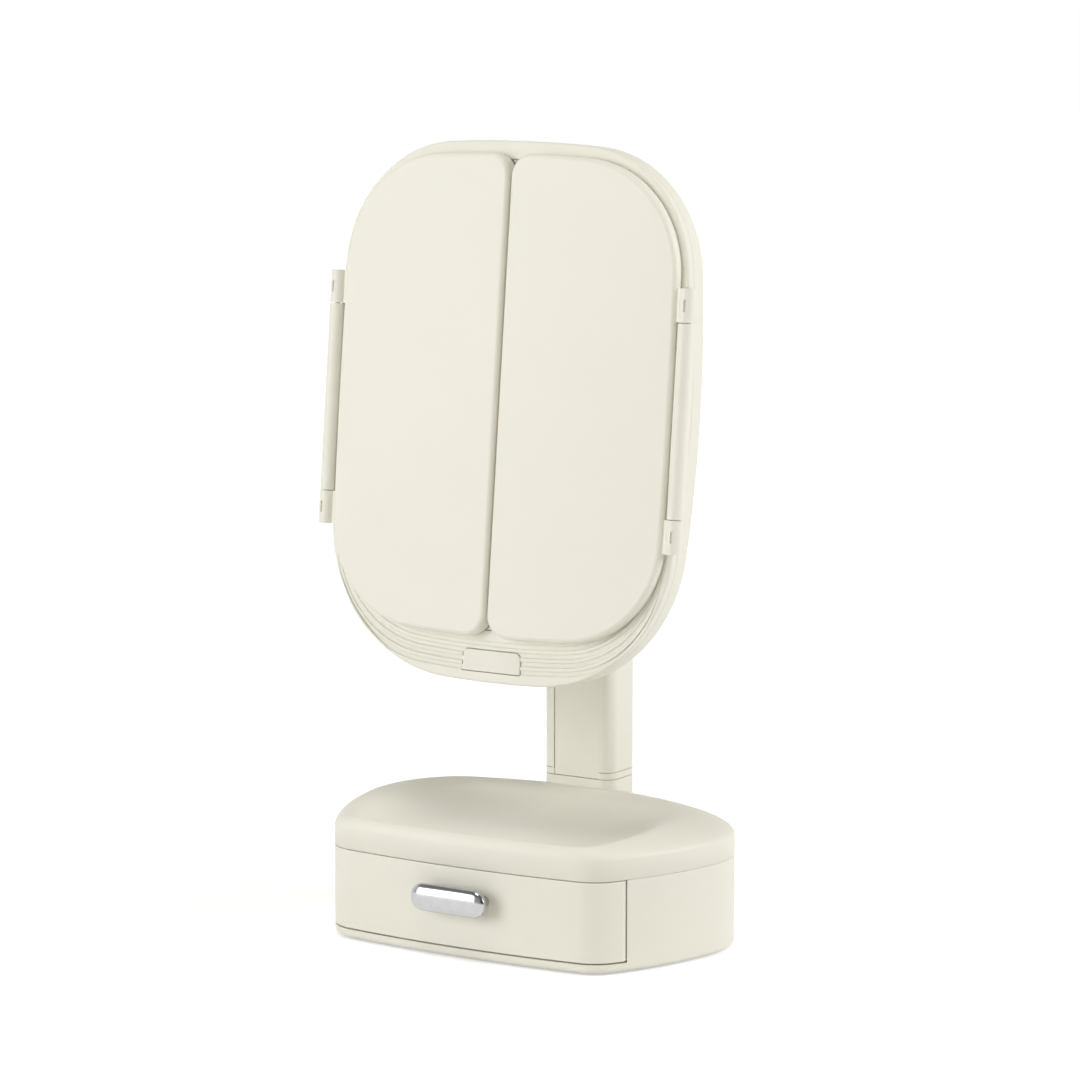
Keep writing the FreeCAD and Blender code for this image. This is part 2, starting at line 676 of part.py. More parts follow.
def column_socket():
    return column_block(0.0, Z_TOP, Z_TOP + SOCKET_HEIGHT).cut(core_block(CORE_GAP, Z_TOP, Z_COLLAR))


def column_panel():
    """Flat front panel with the collar ring that carries it at the foot of the column."""
    collar = column_block(0.0, Z_COLLAR, Z_COLLAR + COLLAR_HEIGHT)
    collar = collar.cut(core_block(CORE_GAP, Z_COLLAR, Z_COLLAR + COLLAR_HEIGHT))
    panel = Part.makeBox(PANEL_WIDTH, PANEL_THICKNESS, PANEL_TOP - Z_COLLAR,
                         Vector(-PANEL_WIDTH / 2, PANEL_FACE, Z_COLLAR))
    recess = Part.makeBox(PANEL_WIDTH, PANEL_RECESS, COLLAR_HEIGHT,
                          Vector(-PANEL_WIDTH / 2, COLUMN_FACE, Z_COLLAR))
    return neck_holes(collar.cut(recess).fuse(panel).removeSplitter())


def column_shell():
    """Rear shell that wraps round both sides and closes over the top."""
    shell = column_block(0.0, Z_SHELL, COLUMN_TOP)
    shell = shell.makeFillet(COLUMN_CAP_RADIUS, edges_at(shell, COLUMN_TOP))
    shell = shell.cut(column_block(COLUMN_WALL, Z_SHELL, COLUMN_TOP - COLUMN_WALL))
    return shell.cut(panel_zone(PANEL_GAP, Z_SHELL, PANEL_TOP + PANEL_GAP))


def column_core():
    low = Z_FLOOR + BRACKET_THICKNESS
    high = COLUMN_TOP - COLUMN_WALL - PART_LINE
    core = core_block(0.0, low, high)
    hollow = Part.makeBox(CORE_WIDTH - 2 * CORE_WALL, CORE_DEPTH - 2 * CORE_WALL, high - low,
                          Vector(CORE_WALL - CORE_WIDTH / 2, COLUMN_Y + CORE_WALL - CORE_DEPTH / 2, low))
    return neck_holes(core.cut(hollow))


def column_bracket():
    plate = rounded_box(BRACKET_WIDTH, BRACKET_DEPTH, BRACKET_THICKNESS, CORE_CORNER,
                        Vector(0, COLUMN_Y, Z_FLOOR))
    for place in BRACKET_HOLES:
        plate = plate.cut(rod(SCREW_RADIUS, place, place + OUT * Z_TOP))
    return plate


def bracket_screws():
    length = FLOOR_THICKNESS + BRACKET_THICKNESS
    return Part.makeCompound([screw(place + OUT * Z_FLOOR_UNDER, OUT, length) for place in BRACKET_HOLES])


def core_spacers():
    """Sleeves between the panel and the core, through which the neck screws pull up tight."""
    back = COLUMN_Y - CORE_DEPTH / 2
    sleeves = []
    for side in (-1, 1):
        place = Vector(0, PANEL_FACE + PANEL_THICKNESS, TILT_HEIGHT + side * NECK_SCREW_PITCH / 2)
        sleeves.append(tube(SCREW_HEAD_RADIUS, SCREW_RADIUS, place, Vector(0, back, place.z)))
    return Part.makeCompound(sleeves)


def neck_arm():
    face = PANEL_FACE
    flange = Part.makeBox(NECK_FLANGE_WIDTH, NECK_FLANGE_THICKNESS, NECK_FLANGE_HEIGHT,
                          Vector(-NECK_FLANGE_WIDTH / 2, face - NECK_FLANGE_THICKNESS,
                                 TILT_HEIGHT - NECK_FLANGE_HEIGHT / 2))
    flange = flange.makeFillet(NECK_CORNER, edges_along(flange, BACK))
    run = face - TILT_Y
    bar = Part.makeBox(NECK_WIDTH, run, NECK_HEIGHT,
                       Vector(-NECK_WIDTH / 2, TILT_Y, TILT_HEIGHT - NECK_HEIGHT / 2))
    bar = bar.makeFillet(NECK_CORNER, edges_along(bar, BACK))
    axis = Vector(0, TILT_Y, TILT_HEIGHT)
    half = RIGHT * (KNUCKLE_LENGTH / 2)
    arm = joined([flange, bar, rod(KNUCKLE_RADIUS, axis - half, axis + half)])
    arm = arm.cut(rod(TILT_PIN_RADIUS + PIN_CLEARANCE, axis - half, axis + half))
    for side in (-1, 1):
        place = Vector(0, face, TILT_HEIGHT + side * NECK_SCREW_PITCH / 2)
        arm = arm.cut(rod(SCREW_RADIUS, place - BACK * NECK_FLANGE_THICKNESS, place))
    return arm


def neck_screws():
    length = NECK_FLANGE_THICKNESS + COLUMN_Y - CORE_DEPTH / 2 - PANEL_FACE + CORE_WALL
    return Part.makeCompound([screw(Vector(0, PANEL_FACE - NECK_FLANGE_THICKNESS,
                                           TILT_HEIGHT + side * NECK_SCREW_PITCH / 2), BACK, length)
                              for side in (-1, 1)])


# ---------------------------------------------------------------- head, in its own plane

REAR_LEVEL = LAND_LEVEL - FRAME_DEPTH
BACK_LEVEL = REAR_LEVEL - REAR_DEPTH
MOUNT_LEVEL = BACK_LEVEL - MOUNT_THICKNESS
TILT_LEVEL = MOUNT_LEVEL - KNUCKLE_RADIUS - KNUCKLE_SIDE_GAP
LAND_BACK = LAND_LEVEL - LAND_THICKNESS
GLASS_LEVEL = LAND_LEVEL - GLASS_SETBACK
GLASS_BACK = GLASS_LEVEL - GLASS_THICKNESS
DOOR_BACK = LAND_LEVEL + DOOR_BACK_GAP
HINGE_X = DOOR_PAIR_WIDTH / 2 + BARREL_GAP + BARREL_RADIUS
HEAD_WIDTH = DOOR_PAIR_WIDTH + 2 * HEAD_SIDE_MARGIN
HEAD_BOTTOM = DOOR_CENTRE - DOOR_HEIGHT / 2 - HEAD_LOW_MARGIN
HEAD_TOP = DOOR_CENTRE + DOOR_HEIGHT / 2 + HEAD_HIGH_MARGIN
HEAD_HEIGHT = HEAD_TOP - HEAD_BOTTOM
HEAD_CENTRE = (HEAD_TOP + HEAD_BOTTOM) / 2
KEY_LOW = HEAD_BOTTOM + RIM_WIDTH_BOTTOM
KEY_HIGH = KEY_LOW + KEY_HEIGHT
KEY_FLANGE_BACK = LAND_BACK - KEY_PLAY - KEY_FLANGE_THICKNESS
SWITCH_FACE = KEY_FLANGE_BACK - KEY_TRAVEL - KEY_PLAY
BOARD_FACE = SWITCH_FACE - SWITCH_BODY
SWITCH_BORE_FLOOR = BOARD_FACE + SWITCH_FLOOR
BOARD_BACK = BOARD_FACE - BOARD_THICKNESS
CAVITY_BACK = BACK_LEVEL + HEAD_WALL
KEY_MIDDLE = (KEY_LOW + KEY_HIGH) / 2
REAR_SCREWS = [Vector(side * REAR_SCREW_PITCH / 2, HEAD_BOTTOM + REAR_SCREW_RISE, 0) for side in (-1, 1)]
MOUNT_SCREWS = [Vector(across * MOUNT_SCREW_PITCH_X / 2, up * MOUNT_SCREW_PITCH_Y / 2, 0)
                for across in (-1, 1) for up in (-1, 1)]


def in_place(shape):
    """Carry a shape from the head's own plane to the leaning head on the neck."""
    on_neck = Placement(Vector(0, TILT_Y, TILT_HEIGHT), Rotation(RIGHT, QUARTER_TURN - HEAD_LEAN))
    from_pin = Placement(Vector(0, 0, -TILT_LEVEL), Rotation())
    shape.Placement = on_neck.multiply(from_pin).multiply(shape.Placement)
    return shape


def head_outline(inset=0.0):
    return crowned_rectangle(HEAD_WIDTH, HEAD_HEIGHT, (HEAD_LOW_CORNER, HEAD_HIGH_CORNER),
                             HEAD_END_BOW, HEAD_SIDE_BOW, HEAD_CENTRE, inset)


def rib_outline(step):
    """Edge of a channel, step pitches in from the first: low edges rise fast, the top hardly moves."""
    low = KEY_LOW + step * RIB_PITCH
    high = HEAD_TOP - RIM_WIDTH_TOP - step * RIB_TOP_STEP
    width = HEAD_WIDTH - 2 * (RIM_WIDTH_SIDE + step * RIB_SIDE_STEP)
    corners = (RIB_LOW_CORNER - step * RIB_LOW_CORNER_STEP, RIB_HIGH_CORNER)
    return crowned_rectangle(width, high - low, corners, RIB_END_BOW, RIB_SIDE_BOW, (low + high) / 2)


def rib_channels():
    """Channels between the ribs, whose floor slopes up until they run out under the doors."""
    deep = LAND_LEVEL - RIB_DEPTH
    rings = []
    for step in range(RIB_CHANNELS):
        outer, inner = rib_outline(step), rib_outline(step + RIB_CHANNEL_SHARE)
        rings.append(prism(outer, deep, LAND_LEVEL).cut(prism(inner, deep, LAND_LEVEL)))
    corners = [(KEY_LOW, deep), (RIB_RUN_OUT, LAND_LEVEL), (KEY_LOW, LAND_LEVEL), (KEY_LOW, deep)]
    side = Part.makePolygon([Vector(-HEAD_WIDTH / 2, up, level) for up, level in corners])
    wedge = Part.Face(side).extrude(RIGHT * HEAD_WIDTH)
    return [ring.common(wedge) for ring in rings]


def door_pair_outline(inset=0.0):
    return crowned_rectangle(DOOR_PAIR_WIDTH, DOOR_HEIGHT, (DOOR_LOW_CORNER, DOOR_HIGH_CORNER),
                             DOOR_END_BOW, DOOR_SIDE_BOW, DOOR_CENTRE, inset)


def mirror_frame():
    frame = prism(head_outline(), REAR_LEVEL, LAND_LEVEL)
    frame = frame.makeFillet(FRAME_EDGE_RADIUS, edges_at(frame, LAND_LEVEL))
    frame = frame.makeChamfer(SEAM_CHAMFER, edges_at(frame, REAR_LEVEL))
    for channel in rib_channels():
        frame = frame.cut(channel)
    frame = frame.cut(prism(head_outline(HEAD_WALL), REAR_LEVEL, LAND_BACK))
    frame = frame.cut(prism(door_pair_outline(WINDOW_MARGIN), LAND_BACK, LAND_LEVEL))
    for place in REAR_SCREWS:
        frame = frame.fuse(rod(REAR_BOSS_RADIUS, place + OUT * REAR_LEVEL, place + OUT * LAND_BACK))
        pilot = rod(SCREW_RADIUS, place + OUT * REAR_LEVEL, place + OUT * (REAR_LEVEL + REAR_SCREW_BITE))
        frame = frame.cut(pilot)
    frame = frame.cut(key_block(KEY_GAP, LAND_BACK, LAND_LEVEL))
    half = UP_HEAD * (BARREL_LENGTH / 2)
    seat = UP_HEAD * (HINGE_LENGTH / 2 + GROOVE_CLEARANCE)
    for side in (-1, 1):
        axis = Vector(side * HINGE_X, 0, 0)
        frame = frame.cut(rod(BARREL_RADIUS + GROOVE_CLEARANCE, axis - seat, axis + seat))
        barrel = rod(BARREL_RADIUS, axis - half, axis + half)
        web = Part.makeBox(BARREL_RADIUS + HEAD_WALL, BARREL_LENGTH, -LAND_BACK,
                           Vector(HINGE_X - BARREL_RADIUS, -BARREL_LENGTH / 2, LAND_BACK))
        frame = frame.fuse(barrel).fuse(web if side > 0 else mirrored(web))
        for end in (-1, 1):
            start = axis + UP_HEAD * (end * BARREL_LENGTH / 2)
            bore = rod(HINGE_PIN_RADIUS + PIN_CLEARANCE, start, start - UP_HEAD * end * HINGE_PIN_GRIP)
            frame = frame.cut(bore)
    return frame.removeSplitter()


def rear_cover():
    cover = prism(head_outline(), BACK_LEVEL, REAR_LEVEL)
    cover = cover.makeFillet(REAR_EDGE_RADIUS, edges_at(cover, BACK_LEVEL))
    cover = cover.makeChamfer(SEAM_CHAMFER, edges_at(cover, REAR_LEVEL))
    cover = cover.cut(prism(head_outline(HEAD_WALL + REAR_EDGE_RADIUS / 2), CAVITY_BACK, REAR_LEVEL))
    lip_inset = HEAD_WALL + PART_LINE
    lip = prism(head_outline(lip_inset), REAR_LEVEL, REAR_LEVEL + REAR_LIP_HEIGHT)
    lip = lip.cut(prism(head_outline(lip_inset + REAR_LIP_WALL), REAR_LEVEL, REAR_LEVEL + REAR_LIP_HEIGHT))
    posts = [lip.cut(key_block(KEY_FLANGE + REAR_LIP_WALL, REAR_LEVEL, REAR_LEVEL + REAR_LIP_HEIGHT))]
    for place in REAR_SCREWS:
        posts.append(rod(REAR_BOSS_RADIUS, place + OUT * CAVITY_BACK, place + OUT * REAR_LEVEL))
    for side in (-1, 1):
        place = Vector(side * BOARD_POST_PITCH / 2, KEY_MIDDLE, 0)
        posts.append(rod(BOARD_POST_RADIUS, place + OUT * CAVITY_BACK, place + OUT * BOARD_BACK))
    cover = joined([cover] + posts)
    for place in REAR_SCREWS:
        cover = cover.cut(rod(SCREW_RADIUS, place + OUT * BACK_LEVEL, place + OUT * REAR_LEVEL))
        well = rod(REAR_WELL_RADIUS, place + OUT * BACK_LEVEL, place + OUT * (BACK_LEVEL + REAR_WELL_DEPTH))
        cover = cover.cut(well)
    for place in MOUNT_SCREWS:
        cover = cover.cut(rod(SCREW_RADIUS, place + OUT * BACK_LEVEL, place + OUT * CAVITY_BACK))
    cover = cover.cut(key_block(KEY_FLANGE + KEY_GAP, KEY_FLANGE_BACK - 2 * KEY_TRAVEL, REAR_LEVEL))
    return cover.cut(inlet_block(PART_LINE, HEAD_BOTTOM, INLET_TOP))


def rear_cover_screws():
    length = REAR_DEPTH - REAR_WELL_DEPTH + REAR_SCREW_BITE
    return Part.makeCompound([screw(place + OUT * (BACK_LEVEL + REAR_WELL_DEPTH), OUT, length)
                              for place in REAR_SCREWS])


def light_ring(inset, width, low, high):
    outer = prism(door_pair_outline(inset), low, high)
    return outer.cut(prism(door_pair_outline(inset + width), low, high))


def main_mirror():
    glass = prism(door_pair_outline(WINDOW_MARGIN + WINDOW_GAP), GLASS_BACK, GLASS_LEVEL)
    return glass.cut(light_band())


def light_band():
    """Frosted ring let into the front of the glass."""
    return light_ring(LIGHT_BAND_INSET, LIGHT_BAND_WIDTH, GLASS_LEVEL - LIGHT_BAND_DEPTH, GLASS_LEVEL)


def mirror_backing():
    """Plate that holds the glass against its window, with a channel for the light strip."""
    plate = prism(door_pair_outline(WINDOW_MARGIN - BACKING_LAP), GLASS_BACK - BACKING_THICKNESS, GLASS_BACK)
    channel = light_ring(LIGHT_BAND_INSET, LIGHT_BAND_WIDTH, GLASS_BACK - LED_THICKNESS, GLASS_BACK)
    return plate.cut(channel)


def led_strip():
    return light_ring(LIGHT_BAND_INSET + LED_MARGIN, LIGHT_BAND_WIDTH - 2 * LED_MARGIN,
                      GLASS_BACK - LED_THICKNESS, GLASS_BACK)


def battery_pack():
    low = CAVITY_BACK
    return rounded_box(BATTERY_WIDTH, BATTERY_HEIGHT, BATTERY_THICKNESS, BATTERY_CORNER,
                       Vector(0, -BATTERY_DROP, low))


def control_board():
    board = Part.makeBox(BOARD_WIDTH, BOARD_HEIGHT, BOARD_THICKNESS,
                         Vector(-BOARD_WIDTH / 2, KEY_MIDDLE - BOARD_DROP, BOARD_BACK))
    return board


def key_switch():
    """Switch body on the board, bored for the plunger."""
    body = Part.makeBox(SWITCH_SIZE, SWITCH_SIZE, SWITCH_BODY,
                        Vector(-SWITCH_SIZE / 2, KEY_MIDDLE - SWITCH_SIZE / 2, BOARD_FACE))
    place = Vector(0, KEY_MIDDLE, 0)
    radius = SWITCH_PLUNGER_RADIUS + PIN_CLEARANCE
    bore = rod(radius, place + OUT * SWITCH_BORE_FLOOR, place + OUT * SWITCH_FACE)
    return body.cut(bore)


def switch_plunger():
    """Plunger that stands between the key and the switch and travels with the key."""
    place = Vector(0, KEY_MIDDLE, 0)
    low = SWITCH_BORE_FLOOR + KEY_TRAVEL + KEY_PLAY
    return rod(SWITCH_PLUNGER_RADIUS, place + OUT * low, place + OUT * KEY_FLANGE_BACK)


INLET_TOP = HEAD_BOTTOM + INLET_LENGTH
INLET_LEVEL = (REAR_LEVEL + BACK_LEVEL) / 2


def inlet_block(gap, low, high):
    """Stadium-ended block of the charging inlet, standing on the head's lower edge."""
    width, height = INLET_WIDTH + 2 * gap, INLET_HEIGHT + 2 * gap
    middle = Part.makeBox(width - height, high - low, height,
                          Vector((height - width) / 2, low, INLET_LEVEL - height / 2))
    ends = [rod(height / 2, Vector(side * (width - height) / 2, low, INLET_LEVEL),
                Vector(side * (width - height) / 2, high, INLET_LEVEL)) for side in (-1, 1)]
    return joined([middle] + ends)


def charge_inlet():
    """Charging inlet: a thin stadium sleeve, closed at its inner end, with a tongue inside."""
    low = HEAD_BOTTOM + PART_LINE
    sleeve = inlet_block(0.0, low, INLET_TOP)
    sleeve = sleeve.cut(inlet_block(-INLET_WALL, low, INLET_TOP - INLET_WALL))
    tongue = Part.makeBox(INLET_WIDTH / 2, INLET_TOP - low - 2 * INLET_WALL, INLET_TONGUE,
                          Vector(-INLET_WIDTH / 4, low + INLET_WALL, INLET_LEVEL - INLET_TONGUE / 2))
    return sleeve.fuse(tongue)


def key_block(gap, low, high):
    """Light key: square at the bottom edge, rounded at its two upper corners."""
    block = Part.makeBox(KEY_WIDTH + 2 * gap, KEY_HIGH - KEY_LOW + 2 * gap, high - low,
                         Vector(-KEY_WIDTH / 2 - gap, KEY_LOW - gap, low))
    tops = [edge for edge in edges_along(block, OUT) if edge.CenterOfMass.y > KEY_MIDDLE]
    return block.makeFillet(KEY_CORNER + gap, tops)


def power_key():
    cap = key_block(0.0, LAND_BACK - KEY_PLAY, LAND_LEVEL)
    cap = cap.makeFillet(KEY_FLANGE_THICKNESS / 2, edges_at(cap, LAND_LEVEL))
    flange = key_block(KEY_FLANGE, KEY_FLANGE_BACK, LAND_BACK - KEY_PLAY)
    return cap.fuse(flange).removeSplitter()


def tilt_mount():
    """Plate on the back of the head with two ears that take the tilt pin."""
    plate = rounded_box(MOUNT_WIDTH, MOUNT_HEIGHT, MOUNT_THICKNESS, MOUNT_CORNER, OUT * MOUNT_LEVEL)
    inner = KNUCKLE_LENGTH / 2 + WASHER_THICKNESS
    mount = plate
    for side in (-1, 1):
        start = Vector(side * inner, 0, TILT_LEVEL)
        end = Vector(side * (inner + EAR_THICKNESS), 0, TILT_LEVEL)
        cheek = Part.makeBox(EAR_THICKNESS, 2 * KNUCKLE_RADIUS, MOUNT_LEVEL - TILT_LEVEL,
                             Vector(min(start.x, end.x), -KNUCKLE_RADIUS, TILT_LEVEL))
        mount = mount.fuse(cheek).fuse(rod(KNUCKLE_RADIUS, start, end))
    span = RIGHT * MOUNT_WIDTH
    axis = OUT * TILT_LEVEL
    mount = mount.cut(rod(TILT_PIN_RADIUS, axis - span, axis + span))
    for place in MOUNT_SCREWS:
        mount = mount.cut(rod(SCREW_RADIUS, place + OUT * MOUNT_LEVEL, place + OUT * BACK_LEVEL))
    return mount.removeSplitter()


def mount_screws():
    length = MOUNT_THICKNESS + HEAD_WALL
    return Part.makeCompound([screw(place + OUT * MOUNT_LEVEL, OUT, length) for place in MOUNT_SCREWS])


def tilt_pin():
    half = KNUCKLE_LENGTH / 2 + WASHER_THICKNESS + EAR_THICKNESS
    axis = OUT * TILT_LEVEL
    pieces = [rod(TILT_PIN_RADIUS, axis - RIGHT * half, axis + RIGHT * half)]
    for side in (-1, 1):
        end = axis + RIGHT * side * half
        pieces.append(rod(TILT_PIN_HEAD, end, end + RIGHT * side * TILT_PIN_HEAD_LENGTH))
    return joined(pieces)


def friction_washers():
    inner = KNUCKLE_LENGTH / 2
    rings = []
    for side in (-1, 1):
        near = Vector(side * (inner + PIN_CLEARANCE), 0, TILT_LEVEL)
        far = Vector(side * (inner + WASHER_THICKNESS), 0, TILT_LEVEL)
        rings.append(tube(WASHER_RADIUS, TILT_PIN_RADIUS, near, far))
    return Part.makeCompound(rings)


# ---------------------------------------------------------------- doors, in the head's plane

def half_door(inset, low, high):
    """Right-hand half of the door pair, with rounded corners at the seam."""
    slab = prism(door_pair_outline(inset), low, high)
    edge = DOOR_SEAM / 2 + inset
    slab = slab.common(Part.makeBox(BIG, BIG, BIG, Vector(edge, -BIG / 2, low - BIG / 2)))
    seam = [corner for corner in edges_along(slab, OUT) if abs(corner.CenterOfMass.x - edge) < PART_LINE]
    return slab.makeFillet(DOOR_SEAM_CORNER - inset, seam)


def door_shell():
    shell = half_door(0.0, DOOR_BACK, DOOR_CROWN_HEIGHT)
    crown_axis = Vector(0, -BIG / 2, DOOR_CROWN_HEIGHT - DOOR_CROWN_RADIUS)
    shell = shell.common(Part.makeCylinder(DOOR_CROWN_RADIUS, BIG, crown_axis, UP_HEAD))
    front = [edge for edge in shell.Edges if edge.BoundBox.ZMin > 0.0]
    shell = shell.makeFillet(DOOR_EDGE_RADIUS, front)
    glass_front = DOOR_BACK + DOOR_MIRROR_THICKNESS
    shell = shell.cut(half_door(DOOR_MIRROR_MARGIN, DOOR_BACK, glass_front)).cut(door_magnets())
    wall = DOOR_MIRROR_MARGIN + DOOR_CAVITY_MARGIN - DOOR_MIRROR_GAP
    sag = DOOR_CROWN_RADIUS - math.sqrt(DOOR_CROWN_RADIUS ** 2 - (DOOR_PAIR_WIDTH / 2) ** 2)
    roof = DOOR_CROWN_HEIGHT - sag - DOOR_FACE_WALL
    cavity = prism(door_pair_outline(2 * wall), glass_front, roof)
    cavity = cavity.common(Part.makeBox(BIG, BIG, BIG, Vector(wall, -BIG / 2, -BIG / 2)))
    shell = shell.cut(cavity)
    for end in (-1, 1):
        near = end * (BARREL_LENGTH / 2 + KNUCKLE_GAP)
        far = end * HINGE_LENGTH / 2
        knuckle = rod(BARREL_RADIUS, Vector(HINGE_X, near, 0), Vector(HINGE_X, far, 0))
        web = Part.makeBox(BARREL_GAP + BARREL_RADIUS + DOOR_EDGE_RADIUS, abs(far - near),
                           KNUCKLE_WEB_TOP - DOOR_BACK,
                           Vector(DOOR_PAIR_WIDTH / 2 - DOOR_EDGE_RADIUS, min(near, far), DOOR_BACK))
        shell = shell.fuse(knuckle).fuse(web)
        shell = shell.cut(rod(HINGE_PIN_RADIUS, Vector(HINGE_X, near, 0),
                              Vector(HINGE_X, far - end * HINGE_PIN_TOP, 0)))
        shell = shell.cut(knuckle_slot((near + far) / 2))
    return shell.removeSplitter()


def knuckle_slot(middle):
    """Upright oval slot pressed into the front of an end knuckle."""
    straight = SLOT_LENGTH - SLOT_WIDTH
    slot = Part.makeBox(SLOT_WIDTH, straight, SLOT_DEPTH, Vector(-SLOT_WIDTH / 2, -straight / 2, 0))
    for end in (-1, 1):
        slot = slot.fuse(Part.makeCylinder(SLOT_WIDTH / 2, SLOT_DEPTH, Vector(0, end * straight / 2, 0)))
    slot.translate(Vector(0, 0, BARREL_RADIUS - SLOT_DEPTH))
    slot.rotate(ORIGIN, UP_HEAD, SLOT_TURN)
    slot.translate(Vector(HINGE_X, middle, 0))
    return slot


def magnets(inset, low):
    """Two bar magnets beside the seam, one at each end of a door, with their rear faces at height low."""
    bars = []
    for end in (-1, 1):
        y = DOOR_CENTRE + end * (DOOR_HEIGHT / 2 - inset)
        corner = Vector(MAGNET_X - MAGNET_LENGTH / 2, y - MAGNET_WIDTH / 2, low)
        bars.append(Part.makeBox(MAGNET_LENGTH, MAGNET_WIDTH, MAGNET_THICKNESS, corner))
    return Part.makeCompound(bars)


def door_magnets():
    return magnets(DOOR_MAGNET_INSET, DOOR_BACK)


def frame_magnets():
    bars = magnets(FRAME_MAGNET_INSET, LAND_BACK - MAGNET_THICKNESS)
    return Part.makeCompound(bars.Solids + mirrored(bars).Solids)


def door_mirror():
    return half_door(DOOR_MIRROR_MARGIN + DOOR_MIRROR_GAP, DOOR_BACK, DOOR_BACK + DOOR_MIRROR_THICKNESS)


def hinge_pins():
    pins = []
    for end in (-1, 1):
        outer = end * (HINGE_LENGTH / 2 - HINGE_PIN_TOP)
        inner = end * (BARREL_LENGTH / 2 - HINGE_PIN_GRIP + KNUCKLE_GAP)
        pins.append(rod(HINGE_PIN_RADIUS, Vector(HINGE_X, outer, 0), Vector(HINGE_X, inner, 0)))
    return Part.makeCompound(pins)


# ---------------------------------------------------------------- every piece

PIECES = {
    "base_body": base_body(),
    "ballast_plate": ballast_plate(),
    "rubber_feet": rubber_feet(),
    "base_screws": base_screws(),
    "top_cover": top_cover(),
    "left_runner": runner(-1),
    "right_runner": runner(1),
    "drawer_front": drawer_front(),
    "drawer_box": drawer_box(),
    "pull_bar": pull_bar(),
    "pull_posts": pull_posts(),
    "pull_screws": pull_screws(),
    "column_socket": column_socket(),
    "column_panel": column_panel(),
    "column_shell": column_shell(),
    "column_core": column_core(),
    "column_bracket": column_bracket(),
    "bracket_screws": bracket_screws(),
    "core_spacers": core_spacers(),
    "neck_arm": neck_arm(),
    "neck_screws": neck_screws(),
    "mirror_frame": in_place(mirror_frame()),
    "rear_cover": in_place(rear_cover()),
    "rear_cover_screws": in_place(rear_cover_screws()),
    "main_mirror": in_place(main_mirror()),
    "light_band": in_place(light_band()),
    "mirror_backing": in_place(mirror_backing()),
    "led_strip": in_place(led_strip()),
    "battery_pack": in_place(battery_pack()),
    "control_board": in_place(control_board()),
    "key_switch": in_place(key_switch()),
    "charge_inlet": in_place(charge_inlet()),
    "power_key": in_place(power_key()),
    "switch_plunger": in_place(switch_plunger()),
    "frame_magnets": in_place(frame_magnets()),
    "tilt_mount": in_place(tilt_mount()),
    "mount_screws": in_place(mount_screws()),
    "tilt_pin": in_place(tilt_pin()),
    "friction_washers": in_place(friction_washers()),
    "right_door_shell": in_place(door_shell()),
    "right_door_mirror": in_place(door_mirror()),
    "right_hinge_pins": in_place(hinge_pins()),
    "right_door_magnets": in_place(door_magnets()),
    "left_door_shell": in_place(mirrored(door_shell())),
    "left_door_mirror": in_place(mirrored(door_mirror())),
    "left_hinge_pins": in_place(mirrored(hinge_pins())),
    "left_door_magnets": in_place(mirrored(door_magnets())),
}

for name, shape in PIECES.items():
    shape.exportStep("parts/" + name + ".step")
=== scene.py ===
import json
import math

import bmesh
import bpy
from mathutils import Matrix, Vector

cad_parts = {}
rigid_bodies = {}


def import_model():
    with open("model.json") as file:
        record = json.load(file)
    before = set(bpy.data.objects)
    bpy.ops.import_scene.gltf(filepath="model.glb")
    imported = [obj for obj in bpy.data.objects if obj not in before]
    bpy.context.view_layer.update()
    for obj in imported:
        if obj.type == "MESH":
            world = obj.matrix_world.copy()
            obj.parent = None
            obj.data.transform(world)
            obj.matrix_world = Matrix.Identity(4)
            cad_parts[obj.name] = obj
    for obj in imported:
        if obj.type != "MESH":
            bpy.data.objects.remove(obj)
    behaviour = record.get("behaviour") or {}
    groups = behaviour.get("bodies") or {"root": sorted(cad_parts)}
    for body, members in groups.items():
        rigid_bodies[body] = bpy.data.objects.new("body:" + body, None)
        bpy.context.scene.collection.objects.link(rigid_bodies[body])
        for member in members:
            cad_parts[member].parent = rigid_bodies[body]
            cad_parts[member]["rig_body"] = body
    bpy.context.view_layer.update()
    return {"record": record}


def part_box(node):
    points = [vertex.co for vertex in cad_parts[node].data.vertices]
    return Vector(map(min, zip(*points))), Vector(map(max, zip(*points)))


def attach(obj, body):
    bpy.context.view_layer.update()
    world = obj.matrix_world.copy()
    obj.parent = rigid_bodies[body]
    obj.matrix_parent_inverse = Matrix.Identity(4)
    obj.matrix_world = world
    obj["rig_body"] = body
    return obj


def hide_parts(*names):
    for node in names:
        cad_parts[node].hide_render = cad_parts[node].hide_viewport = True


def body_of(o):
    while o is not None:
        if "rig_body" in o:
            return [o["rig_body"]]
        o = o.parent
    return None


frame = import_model()

# ---------------------------------------------------------------- sizes, in millimetres and degrees

MM = 0.001
WELD = 1e-4
TOUCH = 1e-3
CUT_REACH = 60.0
CUT_OVERRUN = 1.0

# Outlines of tangent arcs: radius and turn, from the low or front middle round one side.
BASE_HALF = [(609.8, 6.8), (22.0, 51.2), (182.06, 21.5), (44.0, 68.5)]
TRAY_HALF = [(600.0, 6.0), (18.0, 63.0), (110.0, 38.0), (32.0, 65.0)]

# Segments of the arcs of a half outline, in the same order.
BASE_STEPS = [14, 16, 14, 20, 14]
HEAD_STEPS = [8, 26, 20, 26, 8]
PULL_STEPS = [3, 14, 4, 14, 3]

PART_LINE = 0.15
BODY_EDGE = 2.8
SHELL_WALL = 2.6
FLOOR_TOP = 6.1
OPENING_HALF_WIDTH = 92.2
OPENING_DEPTH = 30.0
COLUMN_CORNER = 7.0

